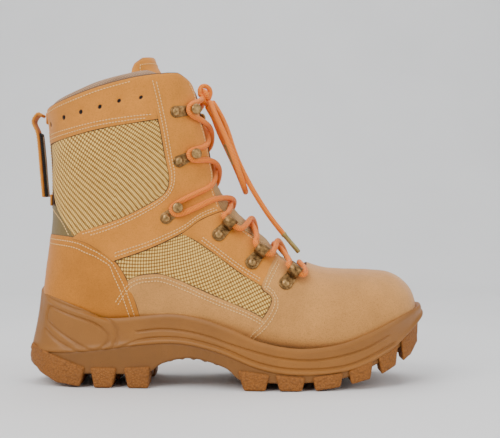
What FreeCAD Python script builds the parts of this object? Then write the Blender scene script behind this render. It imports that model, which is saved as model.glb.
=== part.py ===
import FreeCAD, Part
import math
import os

# Steel toe work boot for the right foot, in millimetres. +X is the toe, +Z is up, -Y is the outer side
# of the foot. The lugs stand on Z = 0 and the origin is under the middle of the sole.

os.makedirs("parts", exist_ok=True)
V = FreeCAD.Vector

# ---- driving dimensions ----
SOLE_LENGTH = 309.0
LEATHER = 2.0  # outer panels
LAYER_GAP = 0.15  # air between two layers of the upper
INTERLINING = 1.5  # foam, stiffener and toe cap layer
LINING = 1.4
COLLAR_PAD = 4.6  # the padded roll inside the collar
COLLAR_RISE = 4.5  # how far the roll stands above the leather
COLLAR_DEPTH = 16.0
TONGUE_INSET = 7.5  # front of the tongue, measured in from the outside of the upper
TONGUE_PAD = 5.0
TONGUE_LEATHER = 1.2
BOARD = 2.2  # insole board
FOOTBED = 5.4
SOLE_MARGIN = 6.0  # how far the sole stands out past the upper
CAP_BACK = 100.0  # rear edge of the toe cap
STRIP = 4.3  # width of the rubber strip behind the toe cap
SHANK = (-72.0, 30.0, 14.0, 1.5)  # from x, to x, width, thickness
LACE_R = 2.1
HOLE_R = 1.6  # rivet holes and collar vents
THROAT_HALF = 23.0  # half width of the slot for the tongue in the inner layers
THROAT_DEPTH = 11.0
STRAP_WIDTH = 14.0
STRAP_T = 2.2

INSET_2 = LEATHER + LAYER_GAP
INSET_3 = INSET_2 + INTERLINING
INSET_4 = INSET_3 + LAYER_GAP
INSET_5 = INSET_4 + LINING
INSET_COLLAR = INSET_2 + COLLAR_PAD
FOOTBED_INSET = INSET_5 + 1.2

# The last, as sections that fan round the instep from the toe to the top of the shaft. Each row holds
# the bottom or back point x, z, the top or front point x, z, the half width, where along the section it
# is widest, the roundness of its bottom and of its top (2 is an ellipse), and its lean to the inner side.
LAST = [
    (148.6, 44.0, 148.6, 59.0, 14.0, 0.45, 2.4, 2.2, 7.0),
    (145.5, 37.0, 145.5, 69.5, 25.0, 0.42, 2.6, 2.2, 7.0),
    (139.0, 32.0, 139.0, 77.5, 34.0, 0.42, 2.8, 2.3, 6.5),
    (128.0, 28.0, 128.0, 84.0, 42.0, 0.42, 3.0, 2.3, 6.0),
    (112.0, 24.0, 112.0, 85.6, 47.0, 0.42, 3.0, 2.3, 4.5),
    (92.0, 21.0, 91.0, 86.2, 49.5, 0.40, 3.0, 2.2, 2.5),
    (70.0, 20.0, 69.0, 89.5, 50.0, 0.38, 3.0, 2.1, 1.0),
    (46.0, 21.0, 47.0, 101.5, 49.5, 0.38, 3.0, 2.1, 0.0),
    (20.0, 24.0, 27.0, 118.0, 47.0, 0.37, 2.9, 2.1, -1.0),
    (-8.0, 29.0, 12.5, 131.5, 44.5, 0.36, 2.8, 2.2, -1.5),
    (-38.0, 34.5, 3.0, 142.0, 42.5, 0.36, 2.7, 2.3, -1.5),
    (-70.0, 37.5, -3.0, 151.0, 41.0, 0.38, 2.6, 2.4, -1.0),
    (-104.0, 37.5, -6.8, 159.5, 40.0, 0.40, 2.5, 2.5, -0.5),
    (-132.0, 43.0, -9.5, 167.5, 39.5, 0.43, 2.4, 2.6, 0.0),
    (-141.5, 62.0, -11.5, 176.0, 39.5, 0.45, 2.3, 2.6, 0.0),
    (-140.5, 82.0, -13.0, 184.0, 39.5, 0.45, 2.2, 2.7, 0.0),
    (-138.0, 100.0, -14.6, 192.0, 39.5, 0.45, 2.2, 2.7, 0.0),
    (-136.0, 118.0, -16.4, 200.0, 39.8, 0.45, 2.2, 2.8, 0.0),
    (-134.8, 140.0, -18.6, 210.0, 40.3, 0.45, 2.2, 2.8, 0.0),
    (-134.8, 163.0, -21.0, 220.5, 41.2, 0.45, 2.2, 2.8, 0.0),
    (-136.5, 187.0, -23.5, 231.0, 42.2, 0.45, 2.2, 2.8, 0.0),
    (-138.5, 207.0, -25.5, 241.0, 43.0, 0.45, 2.2, 2.8, 0.0),
    (-142.0, 240.0, -29.0, 262.0, 44.0, 0.45, 2.2, 2.8, 0.0),
]
SECTION_POINTS = 28
FAR = 400.0

# Side outlines, x and z, shared by the two sides of the boot.
COLLAR_TOP = [(-152, 206.5), (-138.8, 211), (-118, 217.5), (-93, 225.8), (-70, 232), (-46, 236.5)]
MOUTH = COLLAR_TOP + [
    (-34, 236), (-27.5, 231), (-24, 222), (-21, 207), (-16.5, 190), (-13, 172), (-10.5, 160),
    (-10, 150), (-4, 134), (11, 120.5), (27, 108.5), (45, 94.5), (58, 86), (66, 86), (72, 100),
]
HEEL_COUNTER_EDGE = [
    (-160, 115), (-135.5, 114.8), (-114, 112.6), (-102.4, 109), (-90, 101.5), (-80, 92),
    (-73, 80), (-67.5, 66), (-63.5, 52), (-60, 15),
]
FACING_EDGE = [
    (-58.5, 250), (-57, 232), (-53, 215), (-48.5, 194), (-45, 174), (-42, 156), (-46, 145),
    (-63, 134.2), (-85, 124.3), (-108, 117.3), (-116, 111),
]
BAND_EDGE = [(-95, 89), (-82, 95.6), (-56.4, 104.5), (-32, 116), (-18, 126), (-2, 132.5), (30, 142)]
VAMP_EDGE = [(12, 10), (17, 40), (25, 48.5), (32, 57.5), (35.5, 68)]
VAMP_SEAM = [(35.5, 68), (28, 77), (38, 98), (60, 140)]
GAP_EDGE = [(-40, 121), (-18.6, 108.5), (11.6, 86.6), (28, 76.5), (40, 66)]
QUARTER_EDGE = [(-84, 66), (-72, 80.5), (-56, 85), (-40.7, 83.2), (-9.2, 69.8), (19.2, 58), (44, 44)]
ACHILLES_EDGE = [(-150, 141), (-132.5, 137.4), (-122, 127), (-112, 110)]
BAND_BOTTOM = [(-160, 181), (-136, 184.5), (-118, 188.5), (-93, 194.5), (-50, 201), (-20, 205)]
VENTS = [(-133.3, 199.5), (-120.8, 203.5), (-107.3, 207), (-93, 210.6), (-78.7, 215), (-62.6, 217.7)]

# The sole: its top rim, the joint between midsole and outsole, and the underside between the lugs.
RIM = [
    (-170, 83), (-145, 70.5), (-126, 65), (-109, 59.4), (-93, 52.8), (-62, 54), (-40, 55.8), (-18, 52.5),
    (27, 35.7), (56, 30.9), (86, 33.8), (124, 50), (141, 56), (152, 58), (170, 60),
]
SOLE_JOINT = [
    (-170, 28), (-150, 22), (-110, 20), (-62, 24), (-35, 29), (-5, 24), (25, 13.5), (56, 11), (94, 14.5),
    (123, 26), (140, 40), (152, 51), (170, 64),
]
UNDERSIDE = [
    (-170, 24), (-154, 16), (-140, 11), (-120, 10), (-95, 10), (-70, 10), (-57, 11.5), (-46, 18.5), (-25, 22.5), (0, 16), (12, 7), (60, 5.5),
    (90, 8.5), (116, 18), (134, 28), (150, 41), (170, 56),
]
# Half widths of the sole at each x, to the outer side and to the inner side.
PLAN = [
    (-145, 21, 21), (-128, 33, 33), (-108, 39, 38), (-80, 41, 37), (-50, 43, 35), (-20, 48, 37),
    (10, 53.5, 43), (42, 57, 50), (72, 55, 54), (100, 48.5, 53), (124, 37, 47), (144, 17, 33),
]
TOE_TIP_Y = 8.0
# Lugs of the outer and inner rows: x and z of their four corners, top rear, top front, bottom front, rear.
LUGS = [
    [(-150.5, 31), (-105, 15), (-109, 0.8), (-128, 3), (-142, 10), (-152.5, 20)],
    [(-101, 15), (-81, 15), (-84.5, 0), (-98, 0)],
    [(-75.5, 15), (-56, 15), (-57, 0), (-72.5, 0)],
    [(10, 14), (33.5, 12), (30.5, 0), (14.5, 0)],
    [(37.5, 12), (60, 10), (57.5, 0), (41, 0)],
    [(65, 10), (88, 13), (86, 2.5), (67.5, 0)],
    [(92, 14), (111, 21), (109, 7.5), (94.5, 4)],
    [(115, 23), (131.5, 32), (130, 16), (118, 10)],
    [(134, 33), (151, 47), (149, 30), (143, 22), (136, 18)],
]
LUG_ROW = 25.0  # how far the outer and inner rows reach in from the edge
HEEL_BAR = 9.0
CENTRE_LUGS = [(24, 15), (50, 17), (76, 17), (102, 15)]  # x and half length of the middle diamonds


def spread(rows, u):
    """The row at u along the list, by a smooth curve through the rows."""
    i = min(int(u), len(rows) - 2)
    t = u - i
    a = rows[max(i - 1, 0)]
    b = rows[i]
    c = rows[i + 1]
    d = rows[min(i + 2, len(rows) - 1)]
    return [
        0.5 * (2 * q + (r - p) * t + (2 * p - 5 * q + 4 * r - s) * t * t + (3 * q - p - 3 * r + s) * t**3)
        for p, q, r, s in zip(a, b, c, d)
    ]


def section(u, inset=0.0):
    """Ends, half width, widest place, two roundnesses and lean of the last at u, moved in by inset."""
    row = spread(LAST, u)
    before = spread(LAST, max(u - 0.5, 0.0))
    after = spread(LAST, min(u + 0.5, len(LAST) - 1.0))
    ends = []
    for k, turn in ((0, -1), (2, 1)):
        along = V(after[k] - before[k], 0, after[k + 1] - before[k + 1]).normalize()
        inward = V(along.z, 0, -along.x) * turn * -1
        ends.append(V(row[k], 0, row[k + 1]) + inward * inset)
    return ends[0], ends[1], row[4] - inset, row[5], row[6], row[7], row[8]


def half_at(s, half, widest, low, high):
    """Half width of a section at s, from 0 at its bottom to 1 at its top."""
    if s < widest:
        return half * max(1 - ((widest - s) / widest) ** low, 0.0) ** (1 / low)
    return half * max(1 - ((s - widest) / (1 - widest)) ** high, 0.0) ** (1 / high)


def section_ring(u, inset):
    """Points round the last at u, from the top down one side and up the other."""
    b, t, half, widest, low, high, lean = section(u, inset)
    ring = []
    for i in range(SECTION_POINTS):
        a = 2 * math.pi * i / SECTION_POINTS
        c, s = math.cos(a), math.sin(a)
        power = high if c > 0 else low
        reach = abs(c) ** (2 / power)
        along = widest + (1 - widest) * reach if c > 0 else widest - widest * reach
        p = b + (t - b) * along
        ring.append(V(p.x, lean + math.copysign(half * abs(s) ** (2 / power), s), p.z))
    return ring


def smooth_wire(points):
    """A closed smooth wire through points."""
    curve = Part.BSplineCurve()
    curve.interpolate(Points=points, PeriodicFlag=True)
    return Part.Wire([curve.toShape()])


def closed_solid(rings):
    """A solid whose side is one smooth surface through rings, with flat ends."""
    surface = Part.BSplineSurface()
    surface.interpolate([ring + ring[:1] for ring in rings])
    side = surface.toShape()
    ends = [Part.Face(Part.Wire([edge])) for edge in side.Edges if edge.isClosed()]
    shell = Part.makeShell([side] + ends)
    shell.sewShape()
    solid = Part.Solid(Part.Shell(shell.Faces))
    solid.fix(1e-6, 1e-6, 1e-6)
    return solid


def last_solid(inset):
    """The whole last, moved in by inset."""
    return closed_solid([section_ring(i, inset) for i in range(len(LAST))])


def upper_point(x, z, side, lift=0.0):
    """The place on the outside of the upper at x and z, raised by lift, and the direction that faces out."""
    def reach(px, pz):
        low, high = 0.0, len(LAST) - 1.0
        for _ in range(40):
            mid = (low + high) / 2
            b, t = section(mid)[:2]
            if (t.x - b.x) * (pz - b.z) - (t.z - b.z) * (px - b.x) > 0:
                low = mid
            else:
                high = mid
        b, t, half, widest, rb, rt, lean = section(low)
        s = (V(px, 0, pz) - b).dot(t - b) / (t - b).dot(t - b)
        return lean + side * half_at(min(max(s, 0.0), 1.0), half, widest, rb, rt)

    step = 1.0
    slope_x = (reach(x + step, z) - reach(x - step, z)) / (2 * step)
    slope_z = (reach(x, z + step) - reach(x, z - step)) / (2 * step)
    out = V(-slope_x, 1, -slope_z).normalize() * side
    return V(x, reach(x, z), z) + out * lift, out


def front_point(z, lift):
    """The place in front of the throat at height z, raised by lift from the line of the upper."""
    low, high = 0.0, len(LAST) - 1.0
    for _ in range(40):
        mid = (low + high) / 2
        if section(mid)[1].z < z:
            low = mid
        else:
            high = mid
    return section(low, -lift)[1]


def smooth_edge(points):
    """A smooth edge through x, z points in the side plane."""
    curve = Part.BSplineCurve()
    curve.interpolate([V(x, 0, z) for x, z in points])
    return curve.toShape()


def side_tool(curves, corners, y0=-100.0, y1=100.0):
    """The space between y0 and y1 inside smooth curves joined end to end and closed through corners."""
    edges = [smooth_edge(points) for points in curves]
    loop = [curves[-1][-1]] + list(corners) + [curves[0][0]]
    for a, b in zip(loop, loop[1:]):
        edges.append(Part.LineSegment(V(a[0], 0, a[1]), V(b[0], 0, b[1])).toShape())
    face = Part.Face(Part.Wire(Part.__sortEdges__(edges)))
    face.translate(V(0, y0, 0))
    return face.extrude(V(0, y1 - y0, 0))


def prism(points, y0, y1):
    """A straight-sided side outline between y0 and y1."""
    ring = [V(x, y0, z) for x, z in points]
    return Part.Face(Part.makePolygon(ring + ring[:1])).extrude(V(0, y1 - y0, 0))


def solids_of(shape):
    return [s for s in shape.Solids if s.Volume > 1.0]


def write(name, shapes):
    """One STEP file for one piece, or for a set of like pieces."""
    shapes = shapes if isinstance(shapes, list) else [shapes]
    solids = [s for shape in shapes for s in solids_of(shape)]
    node = solids[0] if len(solids) == 1 else Part.Compound(solids)
    node.exportStep("parts/%s.step" % name)
    volume = sum(s.Volume for s in solids)
    print("%-26s %2d solid %10.0f mm3 %s" % (name, len(solids), volume, "" if node.isValid() else "INVALID"))


def lifted(points, rise):
    return [(x, z + rise) for x, z in points]


# ---- lasts and layers ----
# The mouth is everything above the collar line and in front of the throat edges.
mouth = side_tool([MOUTH], [(72, FAR), (-152, FAR)])
outer_last = last_solid(0.0)
outer_skin = outer_last.cut(mouth).cut(last_solid(LEATHER))
# The layers inside it stop short of the throat, in a slot for the tongue.
slot_line = [(x - THROAT_DEPTH, z - THROAT_DEPTH) for x, z in MOUTH[8:-2]]
slot = side_tool([slot_line], [(66, 100), (66, FAR), (-40, FAR)], -THROAT_HALF, THROAT_HALF)
middle_skin = last_solid(INSET_2).cut(mouth).cut(last_solid(INSET_3)).cut(slot)
inner_skin = last_solid(INSET_4).cut(mouth).cut(last_solid(INSET_5)).cut(slot)

bottoms = [(row[0], row[1]) for row in LAST[:14]][::-1]
SEAT = [(-170, 47), (-145, 45)] + bottoms + [(170, 76)]


def under_seat(rise):
    """Everything lower than rise above the underside of the last."""
    return side_tool([lifted(SEAT, rise)], [(170, -50), (-170, -50)])


def over_seat(rise):
    return side_tool([lifted(SEAT, rise)], [(170, FAR), (-170, FAR)])


def plan_prism(shrink, z0=-20.0, z1=120.0):
    """The outline of the sole seen from above, made smaller all round by shrink."""
    outer = [V(x, -(o - shrink), 0) for x, o, i in PLAN]
    inner = [V(x, i - shrink, 0) for x, o, i in PLAN]
    half = SOLE_LENGTH / 2 - shrink
    ring = [V(-half, 0, 0)] + outer + [V(half, TOE_TIP_Y, 0)] + inner[::-1]
    face = Part.Face(smooth_wire(ring))
    face.translate(V(0, 0, z0))
    return face.extrude(V(0, 0, z1 - z0))


# The leather is turned in under the last by a margin, and open in the middle of the sole.
open_bottom = plan_prism(SOLE_MARGIN + 14).common(under_seat(12.0))
outer_skin = outer_skin.cut(open_bottom)
above_board = over_seat(INSET_2 + BOARD + 0.2)
middle_skin = middle_skin.common(above_board)
inner_skin = inner_skin.common(above_board)

# ---- hardware places ----
HOOKS = [((-37.5, 207.5), (-26.0, 209.5)), ((-35.0, 170.0), (-24.5, 175.5)), ((-44.0, 127.0), (-35.5, 134.0))]
EYELETS = [((-4.5, 114.5), (3.0, 122.0)), ((20.5, 93.5), (27.0, 101.0)), ((45.5, 78.0), (51.5, 85.0))]


def seat_frame(place, toward, side):
    """Rivet centre on the upper, the way out, the way along the plate, and the way across it."""
    here, out = upper_point(place[0], place[1], side)
    there = upper_point(toward[0], toward[1], side)[0]
    along = there - here
    reach = along.Length
    along = along - out * along.dot(out)
    along.normalize()
    return here, out, along, out.cross(along), reach


def rivet_holes(skin):
    for place, toward in HOOKS + EYELETS:
        for side in (-1, 1):
            here, out = seat_frame(place, toward, side)[:2]
            skin = skin.cut(Part.makeCylinder(HOLE_R, 16, here - out * 12, out))
    return skin


outer_skin = rivet_holes(outer_skin)
middle_skin = rivet_holes(middle_skin)
inner_skin = rivet_holes(inner_skin)
for x, z in VENTS:
    outer_skin = outer_skin.cut(Part.makeCylinder(HOLE_R, 200, V(x, -100, z), V(0, 1, 0)))


# ---- outer panels, each taken out of the outer skin in turn ----
def by_side(shape):
    """The pieces of shape on the outer side, then those on the inner side."""
    low = V(-200, -100.05, -50)
    return [shape.common(Part.makeBox(400, 100, 400, low + V(0, shift, 0))) for shift in (0, 100.1)]


def take(tool):
    global outer_skin
    piece = outer_skin.common(tool)
    outer_skin = outer_skin.cut(tool)
    return piece


def write_pair(name, shape):
    outer, inner = by_side(shape)
    write(name + "_outer", outer)
    write(name + "_inner", inner)


write("heel_counter", take(side_tool([HEEL_COUNTER_EDGE], [(-160, 15)])))
write("vamp", take(side_tool([VAMP_EDGE, VAMP_SEAM], [(170, 140), (170, 10)])))
facing_region = side_tool([FACING_EDGE[::-1]], [(40, 250), (40, 145), (-116, 60)])
facing_region = facing_region.cut(side_tool([BAND_EDGE], [(30, 20), (-95, 20)]))
write_pair("upper_facing", take(facing_region))
write_pair("lower_facing", take(side_tool([GAP_EDGE], [(40, 150), (-40, 150)])))
write_pair("quarter", take(side_tool([QUARTER_EDGE], [(44, 5), (-84, 5)])))
write("collar_band", take(side_tool([BAND_BOTTOM], [(-20, FAR), (-160, FAR)])))
ankle_line = side_tool([ACHILLES_EDGE], [(-112, 105), (-150, 105)])
write("achilles_panel", take(ankle_line))
write("back_stay", take(Part.makeBox(40, 12, 120, V(-155, -6, 100))))
shaft_region = side_tool([BAND_EDGE], [(30, FAR), (-170, FAR), (-170, 89)])
write_pair("shaft_panel", take(shaft_region))
write_pair("lower_panel", outer_skin)

# ---- layers inside the upper ----
collar_tool = side_tool([lifted(COLLAR_TOP, -COLLAR_DEPTH)], [(-44, 200), (-44, 219), (-36, 219), (-36, FAR), (-152, FAR)])
collar_rim = side_tool([lifted(COLLAR_TOP, COLLAR_RISE)], [(-36, 242), (-36, 150), (-152, 150)])
roll = last_solid(INSET_2).cut(last_solid(INSET_COLLAR)).common(collar_tool).common(collar_rim)
write("collar_roll", roll)
middle_skin = middle_skin.cut(collar_tool)
inner_skin = inner_skin.cut(collar_tool)

cap_tool = Part.makeBox(80, 200, 200, V(CAP_BACK, -100, 0))
strip_tool = Part.makeBox(STRIP, 200, 200, V(CAP_BACK - LAYER_GAP - STRIP, -100, 0))
stiff_tool = side_tool([[(x - 5, z - 5) for x, z in HEEL_COUNTER_EDGE]], [(-165, 10)])
write("steel_toe_cap", middle_skin.common(cap_tool))
write("toe_cap_edge_strip", middle_skin.common(strip_tool))
write("heel_stiffener", middle_skin.common(stiff_tool))
behind_strip = Part.makeBox(400, 200, 300, V(CAP_BACK - 2 * LAYER_GAP - STRIP - 400, -100, 0))
write("foam_interlining", middle_skin.common(behind_strip).cut(stiff_tool))
ankle_cut = prism([(-170, 112), (40, 126), (40, 300), (-170, 300)], -100, 100)
write("shaft_lining", inner_skin.common(ankle_cut))
write("foot_lining", inner_skin.cut(ankle_cut))

# ---- bottom of the foot ----
board = last_solid(INSET_2).common(over_seat(INSET_2)).common(under_seat(INSET_2 + BOARD))
write("insole_board", board)
bed = last_solid(FOOTBED_INSET).common(over_seat(INSET_2 + BOARD + 0.5))
bed = bed.common(under_seat(INSET_2 + BOARD + 0.5 + FOOTBED)).common(Part.makeBox(282, 200, 100, V(-150, -100, 0)))
write("footbed", bed)

# ---- sole ----
heel_slope = prism([(-144.5, 80), (-154.6, 22), (-200, 22), (-200, 80)], -100, 100)
body = plan_prism(0.0).cut(heel_slope)
hollow = last_solid(-0.12)
shank_x0, shank_x1, shank_width, shank_t = SHANK
shank_line = [(shank_x0, 33), (-55, 32.5), (-35, 31.3), (-10, 26.5), (12, 21), (shank_x1, 17.5)]
shank = side_tool([shank_line], lifted(shank_line, shank_t)[::-1], -shank_width / 2, shank_width / 2)
midsole = side_tool([RIM], SOLE_JOINT[::-1]).common(body).cut(hollow).cut(shank)
write("midsole", max(midsole.Solids, key=lambda s: s.Volume))
write("shank", shank)

rubber = side_tool([UNDERSIDE], SOLE_JOINT[::-1]).common(body)
tread = plan_prism(-1.4)
rows = tread.cut(plan_prism(LUG_ROW))
for corners in LUGS:
    rubber = rubber.fuse(prism(corners, -100, 100).common(rows))
heel_core = plan_prism(LUG_ROW + 5)
for x in (-118.0, -90.0, -66.0):
    bar = [(x - HEEL_BAR, 11), (x + HEEL_BAR, 11), (x + HEEL_BAR - 1.5, 1.0), (x - HEEL_BAR + 1.5, 1.0)]
    rubber = rubber.fuse(prism(bar, -30, 30).common(heel_core))
for x, reach in CENTRE_LUGS:
    ring = [V(x - reach, 0, 0), V(x, -15, 0), V(x + reach, 0, 0), V(x, 15, 0)]
    diamond = Part.Face(Part.makePolygon(ring + ring[:1])).extrude(V(0, 0, 16))
    diamond.translate(V(0, 2, 1.0 if x < 90 else 6.0))
    rubber = rubber.fuse(diamond)
rubber = rubber.cut(side_tool([SOLE_JOINT], [(170, FAR), (-170, FAR)])).cut(hollow)
write("outsole", max(rubber.removeSplitter().Solids, key=lambda s: s.Volume))

# ---- tongue ----
TONGUE_BASE = 6.75  # place on the last where the tongue is sewn in
TONGUE_END = 21.3
TONGUE_STEPS = 24
TONGUE_COLUMNS = 10  # each side of the middle
TONGUE_GAP = 0.8


def lean_back(z):
    """How far the free top of the tongue leans into the shaft."""
    t = min(max((z - 212.0) / 38.0, 0.0), 1.0)
    return -20.0 * t * t * (3 - 2 * t)


def tongue_face(start, end, front, depth):
    """The smooth face of the tongue at a depth behind the inset front."""
    rings = []
    for k in range(TONGUE_STEPS):
        u = start + (end - start) * k / (TONGUE_STEPS - 1)
        width = 21.0 + 9.0 * min(max((u - TONGUE_BASE) / 4.0, 0.0), 1.0)
        width -= 7.0 * max(u - TONGUE_END + 1.5, 0.0) / 1.5
        b, t, half, widest, low, high, lean = section(u, front)
        down = (b - t).normalize()
        ring = []
        for j in range(-TONGUE_COLUMNS, TONGUE_COLUMNS + 1):
            y = width * j / TONGUE_COLUMNS * (1 - 0.012 * depth)
            drop = 1 - (1 - min(abs(y) / (half - depth), 0.98) ** high) ** (1 / high)
            along = depth + drop * (1 - widest) * (b - t).Length
            ring.append(t + down * along + V(lean_back(t.z), y + lean, 0))
        rings.append(ring)
    surface = Part.BSplineSurface()
    surface.interpolate(rings)
    return surface


def tongue_layer(start, end, front, thickness):
    """A curved slab behind an inset of the last, as wide as the throat and a little more."""
    faces = []
    rims = []
    for depth in (0.0, thickness):
        surface = tongue_face(start, end, front, depth)
        u0, u1, v0, v1 = surface.bounds()
        faces.append(surface.toShape())
        rims.append([surface.uIso(u0), surface.uIso(u1), surface.vIso(v0), surface.vIso(v1)])
    for near, far in zip(rims[0], rims[1]):
        faces.append(Part.makeRuledSurface(near.toShape(), far.toShape()))
    shell = Part.makeShell(faces)
    shell.sewShape()
    solid = Part.Solid(Part.Shell(shell.Faces))
    solid.fix(1e-5, 1e-5, 1e-5)
    return solid


pad_front = TONGUE_INSET + TONGUE_LEATHER + TONGUE_GAP
write("tongue_pad", tongue_layer(TONGUE_BASE, TONGUE_END - 0.05, pad_front, TONGUE_PAD))
write("tongue_leather", tongue_layer(16.0, TONGUE_END, TONGUE_INSET, TONGUE_LEATHER))

# ---- hooks, eyelets and rivets ----
PLATE = 1.0
PLATE_LIFT = 0.3
POST_R = 1.6
POST_TOP = 7.6
BALL_R = 4.1
TUBE_R = 4.6
TUBE_BORE = 3.4
TUBE_LENGTH = 9.0
HEAD_R = 3.4


def plate_shape(here, out, along, reach, wide, narrow):
    """A flat plate with round ends, from the rivet to reach further on."""
    low = here + out * PLATE_LIFT
    rear = Part.makeCylinder(wide, PLATE, low, out)
    tip = Part.makeCylinder(narrow, PLATE, low + along * reach, out)
    across = out.cross(along)
    ring = [low + across * wide, low - across * wide, low + along * reach - across * narrow]
    ring.append(low + along * reach + across * narrow)
    bridge = Part.Face(Part.makePolygon(ring + ring[:1])).extrude(out * PLATE)
    return rear.fuse(tip).fuse(bridge)


def speed_hook(place, toward, side):
    here, out, along, across, reach = seat_frame(place, toward, side)
    foot = here + along * reach
    hook = plate_shape(here, out, along, reach, 4.6, 3.4)
    hook = hook.fuse(Part.makeCylinder(POST_R, POST_TOP, foot + out * PLATE_LIFT, out))
    hook = hook.fuse(Part.makeCylinder(BALL_R, 1.8, foot + out * (PLATE_LIFT + POST_TOP - 0.1), out))
    return hook.cut(Part.makeCylinder(HOLE_R, 4, here - out, out)).removeSplitter()


def tunnel_eyelet(place, toward, side):
    here, out, along, across, reach = seat_frame(place, toward, side)
    eyelet = plate_shape(here, out, along, reach - 1.5, 5.2, 4.0)
    middle = here + along * reach + out * (PLATE_LIFT + TUBE_R - 0.4)
    tube = Part.makeCylinder(TUBE_R, TUBE_LENGTH, middle - across * (TUBE_LENGTH / 2), across)
    bore = Part.makeCylinder(TUBE_BORE, TUBE_LENGTH + 2, middle - across * (TUBE_LENGTH / 2 + 1), across)
    hole = Part.makeCylinder(HOLE_R, 4, here - out, out)
    return eyelet.fuse(tube).cut(bore).cut(hole).removeSplitter()


def rivet(place, toward, side):
    here, out = seat_frame(place, toward, side)[:2]
    top = here + out * (PLATE_LIFT + PLATE)
    shank_end = here - out * (INSET_5 + 1.2)
    stem = Part.makeCylinder(HOLE_R - 0.05, (top - shank_end).Length + 0.5, shank_end, out)
    dome = Part.makeSphere(4.2, top - out * 2.2).common(Part.makeCylinder(HEAD_R, 3, top + out * 0.02, out))
    return dome.fuse(stem).removeSplitter()


def washer(place, toward, side):
    here, out = seat_frame(place, toward, side)[:2]
    low = here - out * (INSET_5 + 1.2)
    return Part.makeCylinder(3.6, 0.6, low, out).cut(Part.makeCylinder(HOLE_R + 0.02, 2, low - out * 0.5, out))


SIDES = ((-1, "outer"), (1, "inner"))
for number, (place, toward) in enumerate(HOOKS, 1):
    for side, label in SIDES:
        write("speed_hook_%d_%s" % (number, label), speed_hook(place, toward, side))
for number, (place, toward) in enumerate(EYELETS, 1):
    for side, label in SIDES:
        write("tunnel_eyelet_%d_%s" % (number, label), tunnel_eyelet(place, toward, side))
write("hook_rivets", [rivet(p, t, s) for p, t in HOOKS for s in (-1, 1)])
write("eyelet_rivets", [rivet(p, t, s) for p, t in EYELETS for s in (-1, 1)])
write("rivet_washers", [washer(p, t, s) for p, t in HOOKS + EYELETS for s in (-1, 1)])

# ---- pull loop ----
LOOP_LINE = [(-143.9, 207.5), (-147.5, 209), (-151.0, 203), (-147.6, 194), (-145.9, 180), (-144.4, 162), (-142.6, 144)]


def strap(line, low, high, half, start=0.0):
    """A strap that follows line from a share of its length on, between two distances out from it."""
    curve = Part.BSplineCurve()
    curve.interpolate([V(x, 0, z) for x, z in line])
    steps = 12
    sides = ([], [])
    for k in range(steps + 1):
        u = curve.FirstParameter + (curve.LastParameter - curve.FirstParameter) * (start + (1 - start) * k / steps)
        p = curve.value(u)
        d = curve.tangent(u)[0]
        away = V(d.z, 0, -d.x)
        for edge, distance in zip(sides, (low, high)):
            q = p + away * distance
            edge.append((q.x, q.z))
    edges = [smooth_edge(sides[0]), smooth_edge(sides[1])]
    for k in (0, -1):
        a, b = sides[0][k], sides[1][k]
        edges.append(Part.LineSegment(V(a[0], 0, a[1]), V(b[0], 0, b[1])).toShape())
    face = Part.Face(Part.Wire(Part.__sortEdges__(edges)))
    face.translate(V(0, -half, 0))
    return face.extrude(V(0, 2 * half, 0))


write("pull_loop_leather", strap(LOOP_LINE, -STRAP_T / 2, STRAP_T / 2, STRAP_WIDTH / 2))
write("pull_loop_webbing", strap(LOOP_LINE, -STRAP_T / 2 - 1.8, -STRAP_T / 2 - 0.2, STRAP_WIDTH / 2 - 1, 0.3))
write("pull_loop_tabs", [
    Part.makeBox(1.5, STRAP_WIDTH, 9, V(-140.4, -STRAP_WIDTH / 2, 201)),
    Part.makeBox(1.5, STRAP_WIDTH, 9, V(-137.4, -STRAP_WIDTH / 2, 137)),
])


# ---- laces ----
def cord(points, radius, name):
    """A tube along straight runs joined by arcs as large as the runs allow, with its radii printed."""
    edges = []
    radii = []
    at = points[0]
    for before, corner, after in zip(points, points[1:], points[2:]):
        a = (before - corner)
        b = (after - corner)
        turn = math.pi - a.getAngle(b)
        bend = 0.45 * min(a.Length, b.Length) / math.tan(turn / 2)
        cut = bend * math.tan(turn / 2)
        a.normalize()
        b.normalize()
        start, end = corner + a * cut, corner + b * cut
        middle_way = (a + b).normalize()
        middle = corner + middle_way * (bend / math.cos(turn / 2) - bend)
        edges.append(Part.LineSegment(at, start).toShape())
        edges.append(Part.Arc(start, middle, end).toShape())
        radii.append(round(bend, 1))
        at = end
    edges.append(Part.LineSegment(at, points[-1]).toShape())
    path = Part.Wire(edges)
    heading = (points[1] - points[0]).normalize()
    ring = Part.Wire([Part.Circle(points[0], heading, radius).toShape()])
    tube = path.makePipeShell([ring], True, True)
    ratio = tube.Volume / (math.pi * radius**2 * path.Length)
    print("%s length %.1f volume ratio %.4f radii %s" % (name, path.Length, ratio, radii))
    return tube


CROSS_LOW = 0.6
CROSS_HIGH = 5.2
CROSSINGS = [108.5, 126.5, 140.0, 165.0, 196.0]  # heights of the five crossings
EDGE_LIFT = 4.3


def hook_corners(place, toward, side):
    """Two points behind the post of a hook, the lower one first."""
    here, out, along, across, reach = seat_frame(place, toward, side)
    foot = here + along * reach + out * (PLATE_LIFT + PLATE + LACE_R + 0.9)
    across = across * (1 if across.z > 0 else -1)
    gap = POST_R + LACE_R + 0.9
    return [foot - along * gap - across * (gap + 0.8), foot - along * gap + across * (gap + 0.8)]


def eyelet_ends(place, toward, side):
    """Two points on the centre line of a tunnel, the lower one first."""
    here, out, along, across, reach = seat_frame(place, toward, side)
    middle = here + along * reach + out * (PLATE_LIFT + TUBE_R - 0.4)
    across = across * (1 if across.z > 0 else -1)
    return [middle - across * (TUBE_LENGTH / 2 + 3.5), middle + across * (TUBE_LENGTH / 2 + 3.5)]


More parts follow.
